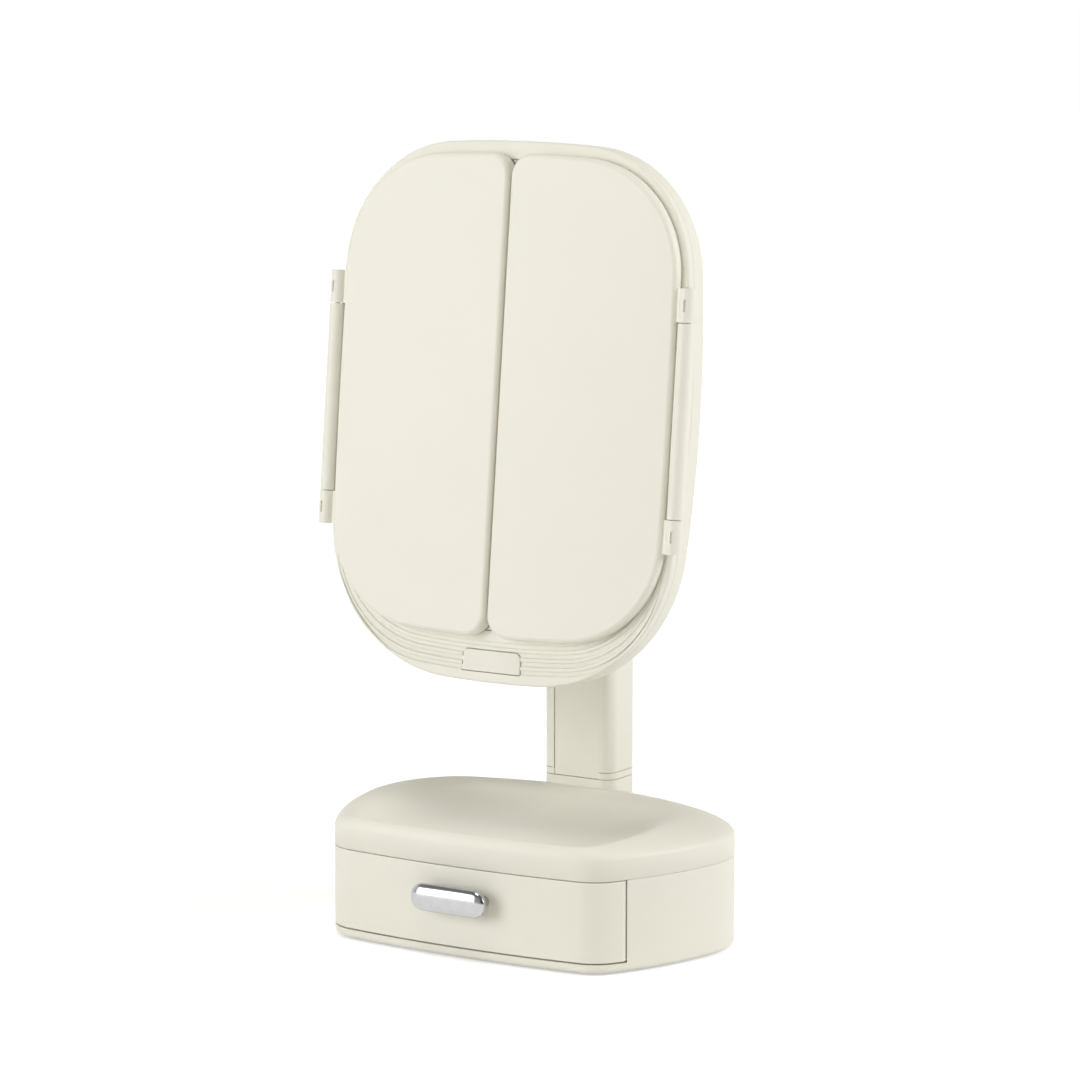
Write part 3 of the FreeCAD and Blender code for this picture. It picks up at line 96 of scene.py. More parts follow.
TRAY_FRONT_MARGIN = 3.2
TRAY_RIM_DROP = 0.3
TRAY_RIM_RISE = 2.5
TRAY_DEPTH = 8.0
SHOULDER_DROP = 7.4
SHOULDER_STEPS = 10
SHOULDER_TURN = 68.0
SHOULDER_FULLNESS = 1.1
SHALLOW_RUN = 10.0
SHALLOW_SHARE = 0.55
DISH_STEPS = 14
DISH_FULLNESS = 3.0

DRAWER_WALL = 3.0
DRAWER_TOP_GAP = 0.5
PULL_CORNER = 7.3
PULL_BOWS = (0.5, 4.0)
PULL_BACK_EDGE = 0.8
PULL_CREST = 0.3
PULL_DOME_STEPS = 12
PULL_DOME_FULLNESS = 0.8

DOOR_SIZE = (207.6, 256.4)
DOOR_CORNERS = (57.0, 61.0)
DOOR_BOWS = (3.0, 1.0)
DOOR_CENTRE = 6.85
DOOR_SEAM = 1.2
DOOR_SEAM_CORNER = 12.5
DOOR_BACK = -2.6
DOOR_FRONT = 6.0
DOOR_EDGE = 2.6
DOOR_CROWN_RADIUS = 1700.0
DOOR_STRIPS = 26
DOOR_PLAIN_STRIPS = (3, 2)
DOOR_MIRROR_MARGIN = 4.5
DOOR_MIRROR_THICKNESS = 2.0

HEAD_SIDE_MARGIN = 6.7
HEAD_LOW_MARGIN = 24.75
HEAD_HIGH_MARGIN = 6.65
HEAD_CORNERS = (81.0, 69.0)
HEAD_BOWS = (3.0, 5.4)
HEAD_WALL = 2.6
LAND_LEVEL = -3.0
LAND_BACK = -6.4
REAR_LEVEL = -8.5
FRAME_EDGE = 1.4
SEAM_CHAMFER = 0.35
WINDOW_MARGIN = 3.0

RIB_CHANNELS = 4
RIB_PITCH = 4.6
RIB_SIDE_STEP = 0.94
RIB_TOP_STEP = 0.5
RIB_DEPTH = 1.2
RIB_RUN_OUT = -66.0
RIB_EVEN_FROM = 0.6
RIB_LEAD = 0.1
RIB_LOW_CORNER = 62.1
RIB_LOW_CORNER_STEP = 1.15
RIB_HIGH_CORNER = 61.0
RIB_BOWS = (4.7, 2.25)
RIB_STATIONS = (-0.03, 0.0, 0.03, 0.08, 0.16, 0.3, 0.44, 0.52, 0.57, 0.6, 0.63)
CHANNEL_MIDDLE = 0.3
CHANNEL_HALF = 0.33
CHANNEL_SQUARENESS = 4
RIM_BOTTOM = 5.65
RIM_TOP = 5.3
RIM_SIDE = 6.5

BARREL_RADIUS = 4.2
BARREL_HALF = 50.6
HINGE_HALF = 68.8
KNUCKLE_GAP = 0.4
KNUCKLE_WEB_TOP = 1.0
GROOVE_RADIUS = 4.7
SLOT_LENGTH = 6.4
SLOT_WIDTH = 1.4
SLOT_DEPTH = 1.0
SLOT_TURN = 12.0

KEY_HALF_WIDTH = 18.0
KEY_HEIGHT = 11.6
KEY_CORNER = 3.4
KEY_GAP = 0.3
KEY_EDGE = 0.6
KEY_OVERLAP = 0.1


# ---------------------------------------------------------------- the frame's own places

HINGE = next(joint for joint in frame["record"]["behaviour"]["joints"]
             if joint["name"] == "right_door_hinge")
HINGE_X = HINGE["pos_m"][0] / MM
HEAD_UP = Vector(HINGE["axis"])
RIGHT = Vector((1.0, 0.0, 0.0))
HEAD_OUT = RIGHT.cross(HEAD_UP)
UPRIGHT = Matrix.Scale(MM, 4)
HEAD_TURN = Matrix((RIGHT, HEAD_UP, HEAD_OUT)).transposed().to_4x4()
HEAD_PLANE = (Matrix.Translation((0.0, HINGE["pos_m"][1], HINGE["pos_m"][2])) @ HEAD_TURN
              @ UPRIGHT)


def node_low(node, axis):
    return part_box(node)[0][axis] / MM


def node_high(node, axis):
    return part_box(node)[1][axis] / MM


BASE_FRONT = node_low("base_body", 1)
BODY_LOW = node_low("base_body", 2)
COVER_LOW = node_high("drawer_front", 2) + DRAWER_TOP_GAP - PART_LINE
COVER_TOP = node_low("column_socket", 2)


# ---------------------------------------------------------------- outlines

def returned(half):
    """Half outline with one more arc that brings it back to the middle plane."""
    x, heading = 0.0, 0.0
    for radius, turn in half:
        after = heading + math.radians(turn)
        x += radius * (math.sin(after) - math.sin(heading))
        heading = after
    return half + [(x / math.sin(heading), 180.0 - math.degrees(heading))]


def crowned(size, corners, bows):
    """Half outline of a rounded rectangle with shallow bowed sides, every arc tangent to the next.

    Corners are the low and the high radius; bows are the turns of the ends and of the sides.
    """
    width, height = size
    end, side = math.radians(bows[0]), math.radians(bows[1])
    both = sum(corners)
    corner_out = math.cos(side) - math.sin(end)
    corner_up = math.cos(end) - math.sin(side)
    side_out = 1 - math.cos(side)
    end_up = (1 - math.cos(end)) / math.sin(end)
    left_over = height - corner_up * both - end_up * (width - corner_out * both)
    side_radius = left_over / (2 * math.sin(side) - 2 * end_up * side_out)
    low, high = [
        ((width / 2 - corner * corner_out - side_radius * side_out) / math.sin(end), corner)
        for corner in corners]
    turn = 90.0 - bows[0] - bows[1]
    return [(low[0], bows[0]), (low[1], turn), (side_radius, 2 * bows[1]),
            (high[1], turn), (high[0], bows[0])]


DOOR_LOW = DOOR_CENTRE - DOOR_SIZE[1] / 2
HEAD_LOW = DOOR_LOW - HEAD_LOW_MARGIN
HEAD_HIGH = DOOR_LOW + DOOR_SIZE[1] + HEAD_HIGH_MARGIN
HEAD_SIZE = (DOOR_SIZE[0] + 2 * HEAD_SIDE_MARGIN, HEAD_HIGH - HEAD_LOW)
KEY_LOW = HEAD_LOW + RIM_BOTTOM

BASE_LINE = dict(half=returned(BASE_HALF), low=BASE_FRONT, steps=BASE_STEPS)
TRAY_LINE = dict(half=returned(TRAY_HALF), low=BASE_FRONT + TRAY_FRONT_MARGIN, steps=BASE_STEPS)
DOOR_LINE = dict(half=crowned(DOOR_SIZE, DOOR_CORNERS, DOOR_BOWS), low=DOOR_LOW, steps=HEAD_STEPS)
HEAD_LINE = dict(half=crowned(HEAD_SIZE, HEAD_CORNERS, HEAD_BOWS), low=HEAD_LOW, steps=HEAD_STEPS)


def rib_line(step):
    """Outline of a channel's edge, step pitches in from the first."""
    low = KEY_LOW + step * RIB_PITCH
    high = HEAD_HIGH - RIM_TOP - step * RIB_TOP_STEP
    width = HEAD_SIZE[0] - 2 * (RIM_SIDE + step * RIB_SIDE_STEP)
    corners = (RIB_LOW_CORNER - step * RIB_LOW_CORNER_STEP, RIB_HIGH_CORNER)
    return dict(half=crowned((width, high - low), corners, RIB_BOWS), low=low, steps=HEAD_STEPS)


# ---------------------------------------------------------------- mesh helpers

def loop_of(verts):
    """Edges of a closed loop of vertices."""
    return [next(e for e in start.link_edges if end in e.verts)
            for start, end in zip(verts, verts[1:] + verts[:1])]


def ring(bm, half, low, steps, level, inset=0.0):
    """Closed loop of vertices along an outline: a point spun about each arc's centre in turn."""
    tip = bm.verts.new((0.0, low + inset, level))
    chain = [tip]
    heading = 0.0
    for (radius, turn), count in zip(half + half[::-1], steps + steps[::-1]):
        inwards = Vector((-math.sin(heading), math.cos(heading), 0.0))
        before = set(bm.verts)
        bmesh.ops.spin(bm, geom=[tip], cent=tip.co + inwards * (radius - inset),
                       axis=(0.0, 0.0, 1.0), angle=math.radians(turn), steps=count,
                       use_merge=False)
        fresh = set(bm.verts) - before
        for _ in range(count):
            tip = next(e.other_vert(tip) for e in tip.link_edges if e.other_vert(tip) in fresh)
            fresh.discard(tip)
            chain.append(tip)
        heading += math.radians(turn)
    last = chain.pop()
    bmesh.ops.weld_verts(bm, targetmap={last: chain[0]})
    return chain


def rings(bm, line, profile):
    """Loops along one outline, one for each inset and level."""
    return [ring(bm, level=level, inset=inset, **line) for inset, level in profile]


def between(bm, first, second, share, rise):
    """Loop that lies a share of the way from one to another in plan, and a rise of it in height."""
    made = bmesh.ops.duplicate(bm, geom=first + loop_of(first))
    match = made["vert_map"]
    chain = [match[v] for v in first]
    for vert, start, end in zip(chain, first, second):
        vert.co = start.co.lerp(end.co, share)
        vert.co.z = start.co.z + (end.co.z - start.co.z) * rise
    return chain


def skin(bm, loops, closed=False):
    """Faces between neighbouring loops, vertex for vertex."""
    following = loops[1:] + loops[:1] if closed else loops[1:]
    for near, far in zip(loops, following):
        made = bmesh.ops.extrude_edge_only(bm, edges=loop_of(near))["geom"]
        fresh = {v for v in made if isinstance(v, bmesh.types.BMVert)}
        targets = {}
        for start, end in zip(near, far):
            twin = next(e.other_vert(start) for e in start.link_edges
                        if e.other_vert(start) in fresh)
            targets[twin] = end
        bmesh.ops.weld_verts(bm, targetmap=targets)


def cap(bm, verts):
    bmesh.ops.edgeloop_fill(bm, edges=loop_of(verts))


def fillet(radius, level, rising, steps=6):
    """Insets and levels of a quarter round from the outline in to a level, up or down to it."""
    profile = []
    for i in range(steps + 1):
        angle = math.pi / 2 * i / steps
        profile.append((radius * (1 - math.cos(angle)),
                        level - rising * radius * (1 - math.sin(angle))))
    return profile


def rounded(bm, parts, radius, segments, affect="EDGES"):
    bmesh.ops.bevel(bm, geom=parts, offset=radius, segments=segments, profile=0.5,
                    affect=affect, material=-1)


def turned(bm, verts, degrees, axis, pivot=(0, 0, 0)):
    turn = Matrix.Rotation(math.radians(degrees), 3, axis)
    bmesh.ops.rotate(bm, cent=pivot, matrix=turn, verts=verts)


def raised(bm, height):
    """Makes a flat face a slab of a height, and returns the vertices of its top."""
    made = bmesh.ops.extrude_face_region(bm, geom=list(bm.faces))["geom"]
    top = [v for v in made if isinstance(v, bmesh.types.BMVert)]
    bmesh.ops.translate(bm, vec=(0, 0, height), verts=top)
    return top


def sliced(bm, x, clear=False):
    """Cuts the faces along the plane across x, and may clear what lies on its low side."""
    bmesh.ops.bisect_plane(bm, geom=list(bm.verts) + list(bm.edges) + list(bm.faces), dist=WELD,
                           plane_co=(x, 0, 0), plane_no=(1, 0, 0), clear_inner=clear)


def block(corner, opposite):
    """Closed box between two opposite corners."""
    low = Vector([min(pair) for pair in zip(corner, opposite)])
    high = Vector([max(pair) for pair in zip(corner, opposite)])
    bm = bmesh.new()
    bmesh.ops.create_cube(bm, size=1.0)
    bmesh.ops.scale(bm, vec=high - low, verts=bm.verts)
    bmesh.ops.translate(bm, vec=(low + high) / 2, verts=bm.verts)
    return bm


def uprights(bm):
    """Edges of a block that run from its bottom to its top."""
    return [e for e in bm.edges if abs(e.verts[0].co.z - e.verts[1].co.z) > TOUCH]


def hinge_bar(radius, x, start, end, segments=48):
    """Closed cylinder on a hinge's line, between two heights."""
    start, end = Vector((x, start, 0)), Vector((x, end, 0))
    run = end - start
    turn = Vector((0.0, 0.0, 1.0)).rotation_difference(run).to_matrix().to_4x4()
    bm = bmesh.new()
    bmesh.ops.create_cone(bm, cap_ends=True, segments=segments, radius1=radius, radius2=radius,
                          depth=run.length, matrix=Matrix.Translation((start + end) / 2) @ turn)
    return bm


def reflected(bm):
    bmesh.ops.scale(bm, vec=(-1.0, 1.0, 1.0), verts=bm.verts)
    bmesh.ops.reverse_faces(bm, faces=bm.faces)
    return bm


# ---------------------------------------------------------------- pieces from meshes

def linked(name, data):
    """New object in the scene for a mesh, a lamp or a camera."""
    obj = bpy.data.objects.new(name, data)
    bpy.context.collection.objects.link(obj)
    return obj


def mesh_of(name, bm):
    mesh = bpy.data.meshes.new(name)
    bm.to_mesh(mesh)
    bm.free()
    return mesh


def carved(bm, tools, operation="DIFFERENCE"):
    """The mesh with other closed meshes cut out of it, joined to it or kept of it."""
    works = []
    for source in [bm] + tools:
        bmesh.ops.recalc_face_normals(source, faces=source.faces)
        works.append(linked("work", mesh_of("work", source)))
    body, cutters = works[0], works[1:]
    for cutter in cutters:
        step = body.modifiers.new("cut", "BOOLEAN")
        step.operation = operation
        step.solver = "EXACT"
        step.object = cutter
    bpy.context.view_layer.update()
    finished = body.evaluated_get(bpy.context.evaluated_depsgraph_get())
    result = bpy.data.meshes.new_from_object(finished)
    out = bmesh.new()
    out.from_mesh(result)
    for obj in works:
        mesh = obj.data
        bpy.data.objects.remove(obj)
        bpy.data.meshes.remove(mesh)
    bpy.data.meshes.remove(result)
    bmesh.ops.remove_doubles(out, verts=out.verts, dist=WELD)
    return out


def dress(mesh, body, node, material, smooth, bevel, segments):
    """Object that rides on a body and stands for a node: smooth below an angle, its edges eased."""
    mesh.shade_smooth()
    mesh.set_sharp_from_angle(angle=math.radians(smooth))
    mesh.materials.clear()
    mesh.materials.append(material)
    obj = linked(mesh.name, mesh)
    if bevel:
        edge = obj.modifiers.new("edge", "BEVEL")
        edge.width = bevel * MM
        edge.segments = segments
        edge.limit_method = "ANGLE"
        edge.angle_limit = math.radians(smooth)
        even = obj.modifiers.new("even", "WEIGHTED_NORMAL")
        even.keep_sharp = True
    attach(obj, body)
    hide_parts(node)


def piece(name, bm, place, body, node, material, slot, smooth=35.0, bevel=0.0, segments=2):
    """New piece, moved from its own plane to its place."""
    bmesh.ops.recalc_face_normals(bm, faces=bm.faces)
    bm.transform(place)
    dress(mesh_of(name, bm), body, node, material, smooth, bevel, segments)


def refined(node, material, slot, bevel, smooth=28.0, segments=2):
    """Merged copy of a node's mesh with eased edges, standing for that node."""
    source = bpy.data.objects[node]
    bm = bmesh.new()
    bm.from_mesh(source.data)
    bmesh.ops.remove_doubles(bm, verts=bm.verts, dist=TOUCH * MM)
    bmesh.ops.dissolve_limit(bm, angle_limit=math.radians(0.4), verts=bm.verts, edges=bm.edges)
    dress(mesh_of(node + "_finish", bm), body_of(source)[0], node, material, smooth,
          bevel, segments)


# ---------------------------------------------------------------- shader helpers

class Value:
    """A shader socket that takes part in Python arithmetic."""

    def __init__(self, shade, socket):
        self.shade = shade
        self.socket = socket

    def math(self, operation, other):
        return self.shade.node("ShaderNodeMath", {"operation": operation}, [self, other])

    def __add__(self, other):
        return self.math("ADD", other)

    def __mul__(self, other):
        return self.math("MULTIPLY", other)

    __radd__ = __add__
    __rmul__ = __mul__


class Shade:
    """The nodes of a material or of the world, and the last of them, which the others feed."""

    def __init__(self, owner, last="Principled BSDF", coordinates="Object"):
        owner.use_nodes = True
        self.tree = owner.node_tree
        self.last = self.tree.nodes[last]
        self.place = self.node("ShaderNodeTexCoord", {}, {}, coordinates)

    def feed(self, socket, value):
        if isinstance(value, Value):
            self.tree.links.new(value.socket, socket)
        else:
            socket.default_value = value

    def node(self, kind, settings, inputs, output=0):
        made = self.tree.nodes.new(kind)
        for name, value in settings.items():
            setattr(made, name, value)
        pairs = inputs.items() if isinstance(inputs, dict) else enumerate(inputs)
        for key, value in pairs:
            self.feed(made.inputs[key], value)
        return Value(self, made.outputs[output])

    def set(self, **sockets):
        for name, value in sockets.items():
            self.feed(self.last.inputs[name.replace("_", " ")], value)

    def noise(self, scale, detail=2.0, roughness=0.5):
        return self.node("ShaderNodeTexNoise", {"noise_dimensions": "3D"},
                         {"Vector": self.place, "Scale": scale, "Detail": detail,
                          "Roughness": roughness})

    def mixed(self, share, first, second):
        """Colour mix; a Mix node's colour sockets have no names of their own, only numbers."""
        return self.node("ShaderNodeMix", {"data_type": "RGBA"}, {0: share, 6: first, 7: second}, 2)

    def bump(self, height, strength, distance):
        return self.node("ShaderNodeBump", {},
                         {"Height": height, "Strength": strength, "Distance": distance})

    def ramp(self, value, start, end, first, last):
        """A number that goes from first to last while the value goes from start to end."""
        return self.node("ShaderNodeMapRange", {}, [value, start, end, first, last])


def color(red, green, blue):
    """Linear colour of an 8-bit display colour."""
    def linear(part):
        part /= 255.0
        return part / 12.92 if part <= 0.04045 else ((part + 0.055) / 1.055) ** 2.4
    return (linear(red), linear(green), linear(blue), 1.0)


BLACK = (0.0, 0.0, 0.0, 1.0)
WHITE = (1.0, 1.0, 1.0, 1.0)


# ---------------------------------------------------------------- finishes

def moulded_plastic(name, main, other, roughness, coat=0.0):
    """Moulded plastic: faint cloudiness of tone, a very fine spark-eroded grain, uneven gloss."""
    material = bpy.data.materials.new(name)
    shade = Shade(material)
    cloud = shade.noise(9.0, 3.0)
    fine = shade.noise(2600.0)
    speck = shade.noise(700.0)
    shade.set(Base_Color=shade.mixed(cloud * 0.8 + speck * 0.2, main, other),
              Roughness=cloud * 0.08 + speck * 0.06 + (roughness - 0.07),
              Normal=shade.bump(fine, 0.05, 0.02 * MM), IOR=1.46, Coat_Weight=coat)
    return material


def polished_chrome(name):
    """Chrome plate with faint wiping marks and a slight ripple under the plating."""
    material = bpy.data.materials.new(name)
    shade = Shade(material)
    wipe = shade.noise(220.0, 4.0, 0.7)
    ripple = shade.noise(90.0, 1.0)
    shade.set(Base_Color=shade.mixed(wipe, color(202, 203, 206), color(182, 183, 186)),
              Metallic=1.0, Roughness=wipe * 0.08 + 0.15,
              Normal=shade.bump(ripple, 0.05, 0.1 * MM))
    return material


def zinc_steel(name, tone, roughness):
    """Plated steel with a fine drawn grain along its length."""
    material = bpy.data.materials.new(name)
    shade = Shade(material)
    drawn = shade.node("ShaderNodeMapping", {},
                       {"Vector": shade.place, "Scale": (1.0, 1.0, 0.05)})
    grain = shade.node("ShaderNodeTexNoise", {}, {"Vector": drawn, "Scale": 900.0, "Detail": 3.0})
    dark = tuple(part * 0.8 for part in tone[:3]) + (1.0,)
    shade.set(Base_Color=shade.mixed(grain, tone, dark), Metallic=1.0,
              Roughness=grain * 0.15 + (roughness - 0.07),
              Normal=shade.bump(grain, 0.06, 0.03 * MM))
    return material


def silvered_glass(name):
    """Mirror glass: near perfect reflection with the faintest haze."""
    material = bpy.data.materials.new(name)
    shade = Shade(material)
    haze = shade.noise(30.0)
    shade.set(Base_Color=shade.mixed(haze, color(236, 240, 241), color(230, 236, 237)),
              Metallic=1.0, Roughness=haze * 0.02 + 0.01)
    return material


def soft_rubber(name):
    """Dark rubber with open pores."""
    material = bpy.data.materials.new(name)
    shade = Shade(material)
    pores = shade.noise(1500.0, 3.0)
    shade.set(Base_Color=shade.mixed(pores, color(58, 58, 58), color(42, 42, 42)),
              Roughness=pores * 0.15 + 0.72, Normal=shade.bump(pores, 0.2, 0.05 * MM))
    return material


CREAM = moulded_plastic("cream_plastic", color(236, 234, 223), color(233, 231, 219), 0.46)
INNER = moulded_plastic("inner_plastic", color(232, 231, 224), color(226, 225, 217), 0.5)
CHROME = polished_chrome("chrome_plate")
STEEL = zinc_steel("plated_steel", (0.56, 0.56, 0.57, 1.0), 0.35)
NECK = moulded_plastic("neck_paint", color(233, 231, 218), color(228, 226, 212), 0.38, coat=0.2)
DARK = moulded_plastic("dark_plastic", color(44, 44, 46), color(36, 36, 38), 0.55)
GLASS = silvered_glass("silvered_glass")
FROST = moulded_plastic("frosted_band", color(246, 246, 242), color(240, 241, 238), 0.6)
TAPE = moulded_plastic("light_tape", color(246, 240, 205), color(240, 232, 196), 0.5)
BOARD = moulded_plastic("board_green", color(38, 92, 62), color(30, 78, 52), 0.4, coat=0.4)
WRAP = moulded_plastic("battery_wrap", color(70, 96, 140), color(60, 86, 130), 0.3, coat=0.5)
RUBBER = soft_rubber("foot_rubber")


# ---------------------------------------------------------------- base

def base_shell():
    """Outer wall with its floor; the drawer's opening is cut out of the front."""
    bm = bmesh.new()
    under = [(2 * BODY_EDGE, BODY_LOW)] + fillet(BODY_EDGE, BODY_LOW, -1)[::-1]
    over = [(0.0, COVER_LOW - PART_LINE), (PART_LINE, COVER_LOW),
            (SHELL_WALL, COVER_LOW), (SHELL_WALL, FLOOR_TOP)]
    loops = rings(bm, BASE_LINE, under + over)
    skin(bm, loops)
    cap(bm, loops[0])
    cap(bm, loops[-1])
    opening = block((-OPENING_HALF_WIDTH, BASE_FRONT - CUT_REACH, FLOOR_TOP),
                    (OPENING_HALF_WIDTH, BASE_FRONT + OPENING_DEPTH, COVER_LOW + CUT_REACH))
    return carved(bm, [opening])


def column_foot(grow, low, high):
    """Closed block with the column's footprint."""
    near, far = [Vector(corner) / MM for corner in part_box("column_socket")]
    bm = block((near.x - grow, near.y - grow, low), (far.x + grow, far.y + grow, high))
    rounded(bm, uprights(bm), COLUMN_CORNER + grow, 8)
    return bm


def tray_cover():
    """Cover whose shoulder climbs to a leaning rim and rolls over into a shallow, rounded dish."""
    bm = bmesh.new()
    low = COVER_LOW + PART_LINE
    rim_level = COVER_TOP - TRAY_RIM_DROP
    wall = ring(bm, level=COVER_TOP - SHOULDER_DROP, **BASE_LINE)
    rim = ring(bm, level=rim_level, **TRAY_LINE)
    floor = ring(bm, level=COVER_TOP - TRAY_DEPTH, inset=SHALLOW_RUN, **TRAY_LINE)
    middle = sum((v.co for v in floor), Vector()) / len(floor)
    bmesh.ops.scale(bm, vec=(SHALLOW_SHARE, SHALLOW_SHARE, 1.0),
                    space=Matrix.Translation(-middle), verts=floor)
    turned(bm, rim, TRAY_RIM_RISE, "X", (0.0, TRAY_LINE["low"], rim_level))
    loops = rings(bm, BASE_LINE, [(SHELL_WALL, low), (PART_LINE, low), (0.0, low + PART_LINE)])
    loops.append(wall)
    full = math.radians(SHOULDER_TURN)
    for i in range(1, SHOULDER_STEPS):
        angle = full * i / SHOULDER_STEPS
        loops.append(between(bm, wall, rim, (1 - math.cos(angle)) / (1 - math.cos(full)),
                             (math.sin(angle) / math.sin(full)) ** SHOULDER_FULLNESS))
    for i in range(1, DISH_STEPS + 1):
        share = i / DISH_STEPS
        loops.append(between(bm, rim, floor, share, 1 - (1 - share) ** DISH_FULLNESS))
    bmesh.ops.delete(bm, geom=rim + floor, context="VERTS")
    skin(bm, loops)
    cap(bm, loops[-1])
    cap(bm, loops[0])
    seated = carved(bm, [column_foot(0.0, low + PART_LINE, COVER_TOP)], "UNION")
    return carved(seated, [column_foot(PART_LINE, COVER_TOP, COVER_TOP + SHOULDER_DROP)])


def drawer_face():
    """Front panel that follows the base's outline round both corners."""
    low, high = node_low("drawer_front", 2), node_high("drawer_front", 2)
    bm = bmesh.new()
    profile = [(0.0, low), (0.0, high), (DRAWER_WALL, high), (DRAWER_WALL, low)]
    skin(bm, rings(bm, BASE_LINE, profile), closed=True)
    keep = block((node_low("drawer_front", 0), BASE_FRONT - CUT_REACH, low - CUT_REACH),
                 (node_high("drawer_front", 0), BASE_FRONT + OPENING_DEPTH, high + CUT_REACH))
    return carved(bm, [keep], "INTERSECT")


def pull():
    """Capsule bar with a flat back and a domed front."""
    near, far = [Vector(corner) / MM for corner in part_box("pull_bar")]
    width, thickness, height = far - near
    half = crowned((width, height), (PULL_CORNER, PULL_CORNER), PULL_BOWS)
    profile = [(2 * PULL_BACK_EDGE, 0.0)] + fillet(PULL_BACK_EDGE, 0.0, -1)[::-1]
    for i in range(1, PULL_DOME_STEPS + 1):
        angle = math.pi / 2 * i / PULL_DOME_STEPS
        rise = math.sin(angle) ** PULL_DOME_FULLNESS
        profile.append(((PULL_CORNER - PULL_CREST) * (1 - math.cos(angle)),
                        PULL_BACK_EDGE + (thickness - PULL_BACK_EDGE) * rise))
    bm = bmesh.new()
    loops = rings(bm, dict(half=half, low=-height / 2, steps=PULL_STEPS), profile)
    skin(bm, loops)
    cap(bm, loops[0])
    cap(bm, loops[-1])
    turned(bm, bm.verts, 90, "X")
    bmesh.ops.translate(bm, vec=((near.x + far.x) / 2, far.y, (near.z + far.z) / 2), verts=bm.verts)
    return bm


# ---------------------------------------------------------------- head

def key_block(gap, back, front):
    """Closed block of the light key: square below, rounded at its two upper corners."""
    low, high = KEY_LOW - gap, KEY_LOW + KEY_HEIGHT + gap
    reach = KEY_HALF_WIDTH + gap
    bm = block((-reach, low, back), (reach, high, front))
    tops = [e for e in uprights(bm) if e.verts[0].co.y > (low + high) / 2]
    rounded(bm, tops, KEY_CORNER + gap, 8)
    return bm


def channel_depth(share):
    """How deep a channel is, 0 to 1, at a share of its pitch in from its outer edge."""
    across = abs(share - CHANNEL_MIDDLE) / CHANNEL_HALF
    return 1.0 - across ** CHANNEL_SQUARENESS if across < 1.0 else 0.0


def clamped(share):
    return min(max(share, 0.0), 1.0)


def ribbed_land(bm, window):
    """Loops from the first channel's edge in to the window: U-shaped channels between ribs.

    The channels run out as they climb, and their loops spread evenly there.
    """
    loops = []
    first = ring(bm, level=LAND_LEVEL, **rib_line(0.0))
    for step in range(RIB_CHANNELS):
        for share in RIB_STATIONS:
            loop = ring(bm, level=LAND_LEVEL, **rib_line(step + share))
            inwards = (step + share + RIB_LEAD) / (RIB_CHANNELS + RIB_LEAD)
            for vert, start, end in zip(loop, first, window):
                climb = (vert.co.y - KEY_LOW) / (RIB_RUN_OUT - KEY_LOW)
                blend = clamped((climb - RIB_EVEN_FROM) / (1.0 - RIB_EVEN_FROM))
                even = start.co.lerp(end.co, inwards)
                vert.co = vert.co.lerp(even, blend * blend * (3 - 2 * blend))
                depth = RIB_DEPTH * clamped(1.0 - climb) * channel_depth(share)
                vert.co.z = LAND_LEVEL - depth
            loops.append(loop)
    bmesh.ops.delete(bm, geom=first, context="VERTS")
    return loops


def mirror_frame():
    """Front frame: ribs below the doors, a plain land round the window, barrels at both sides."""
    bm = bmesh.new()
    window = ring(bm, level=LAND_LEVEL, inset=WINDOW_MARGIN, **DOOR_LINE)
    loops = rings(bm, HEAD_LINE, [(SEAM_CHAMFER, REAR_LEVEL), (0.0, REAR_LEVEL + SEAM_CHAMFER)]
                  + fillet(FRAME_EDGE, LAND_LEVEL, 1))
    loops += ribbed_land(bm, window)
    loops.append(window)
    loops.append(ring(bm, level=LAND_BACK, inset=WINDOW_MARGIN, **DOOR_LINE))
    loops += rings(bm, HEAD_LINE, [(HEAD_WALL, LAND_BACK), (HEAD_WALL, REAR_LEVEL)])
    skin(bm, loops, closed=True)
    reach = HINGE_HALF + KNUCKLE_GAP
    grooves = [hinge_bar(GROOVE_RADIUS, side * HINGE_X, -reach, reach) for side in (-1, 1)]
    key_hole = key_block(KEY_GAP, LAND_BACK - 2 * CUT_OVERRUN, LAND_LEVEL + 2 * CUT_OVERRUN)
    bm = carved(bm, grooves + [key_hole])
    barrels = []
    for side in (-1, 1):
        barrels.append(hinge_bar(BARREL_RADIUS, side * HINGE_X, -BARREL_HALF, BARREL_HALF))
        barrels.append(block((side * (HINGE_X - BARREL_RADIUS), -BARREL_HALF, LAND_BACK),
                             (side * (HINGE_X + HEAD_WALL), BARREL_HALF, 0.0)))
    return carved(bm, barrels, "UNION")


def door_outline(inset, level):
    """Flat face in the shape of the right-hand door, with rounded corners at the seam."""
    bm = bmesh.new()
    cap(bm, ring(bm, level=level, inset=inset, **DOOR_LINE))
    seam = DOOR_SEAM / 2 + inset
    sliced(bm, seam, clear=True)
    corners = [v for v in bm.verts if abs(v.co.x - seam) < TOUCH]
    # The corner's bevel stops at the next vertex, so the ones that it passes go first.
    passed = [v for v in bm.verts if seam + TOUCH < v.co.x < seam + DOOR_SEAM_CORNER + 1.0]
    bmesh.ops.dissolve_verts(bm, verts=passed)
    rounded(bm, corners, DOOR_SEAM_CORNER - inset, 10, affect="VERTICES")
    return bm


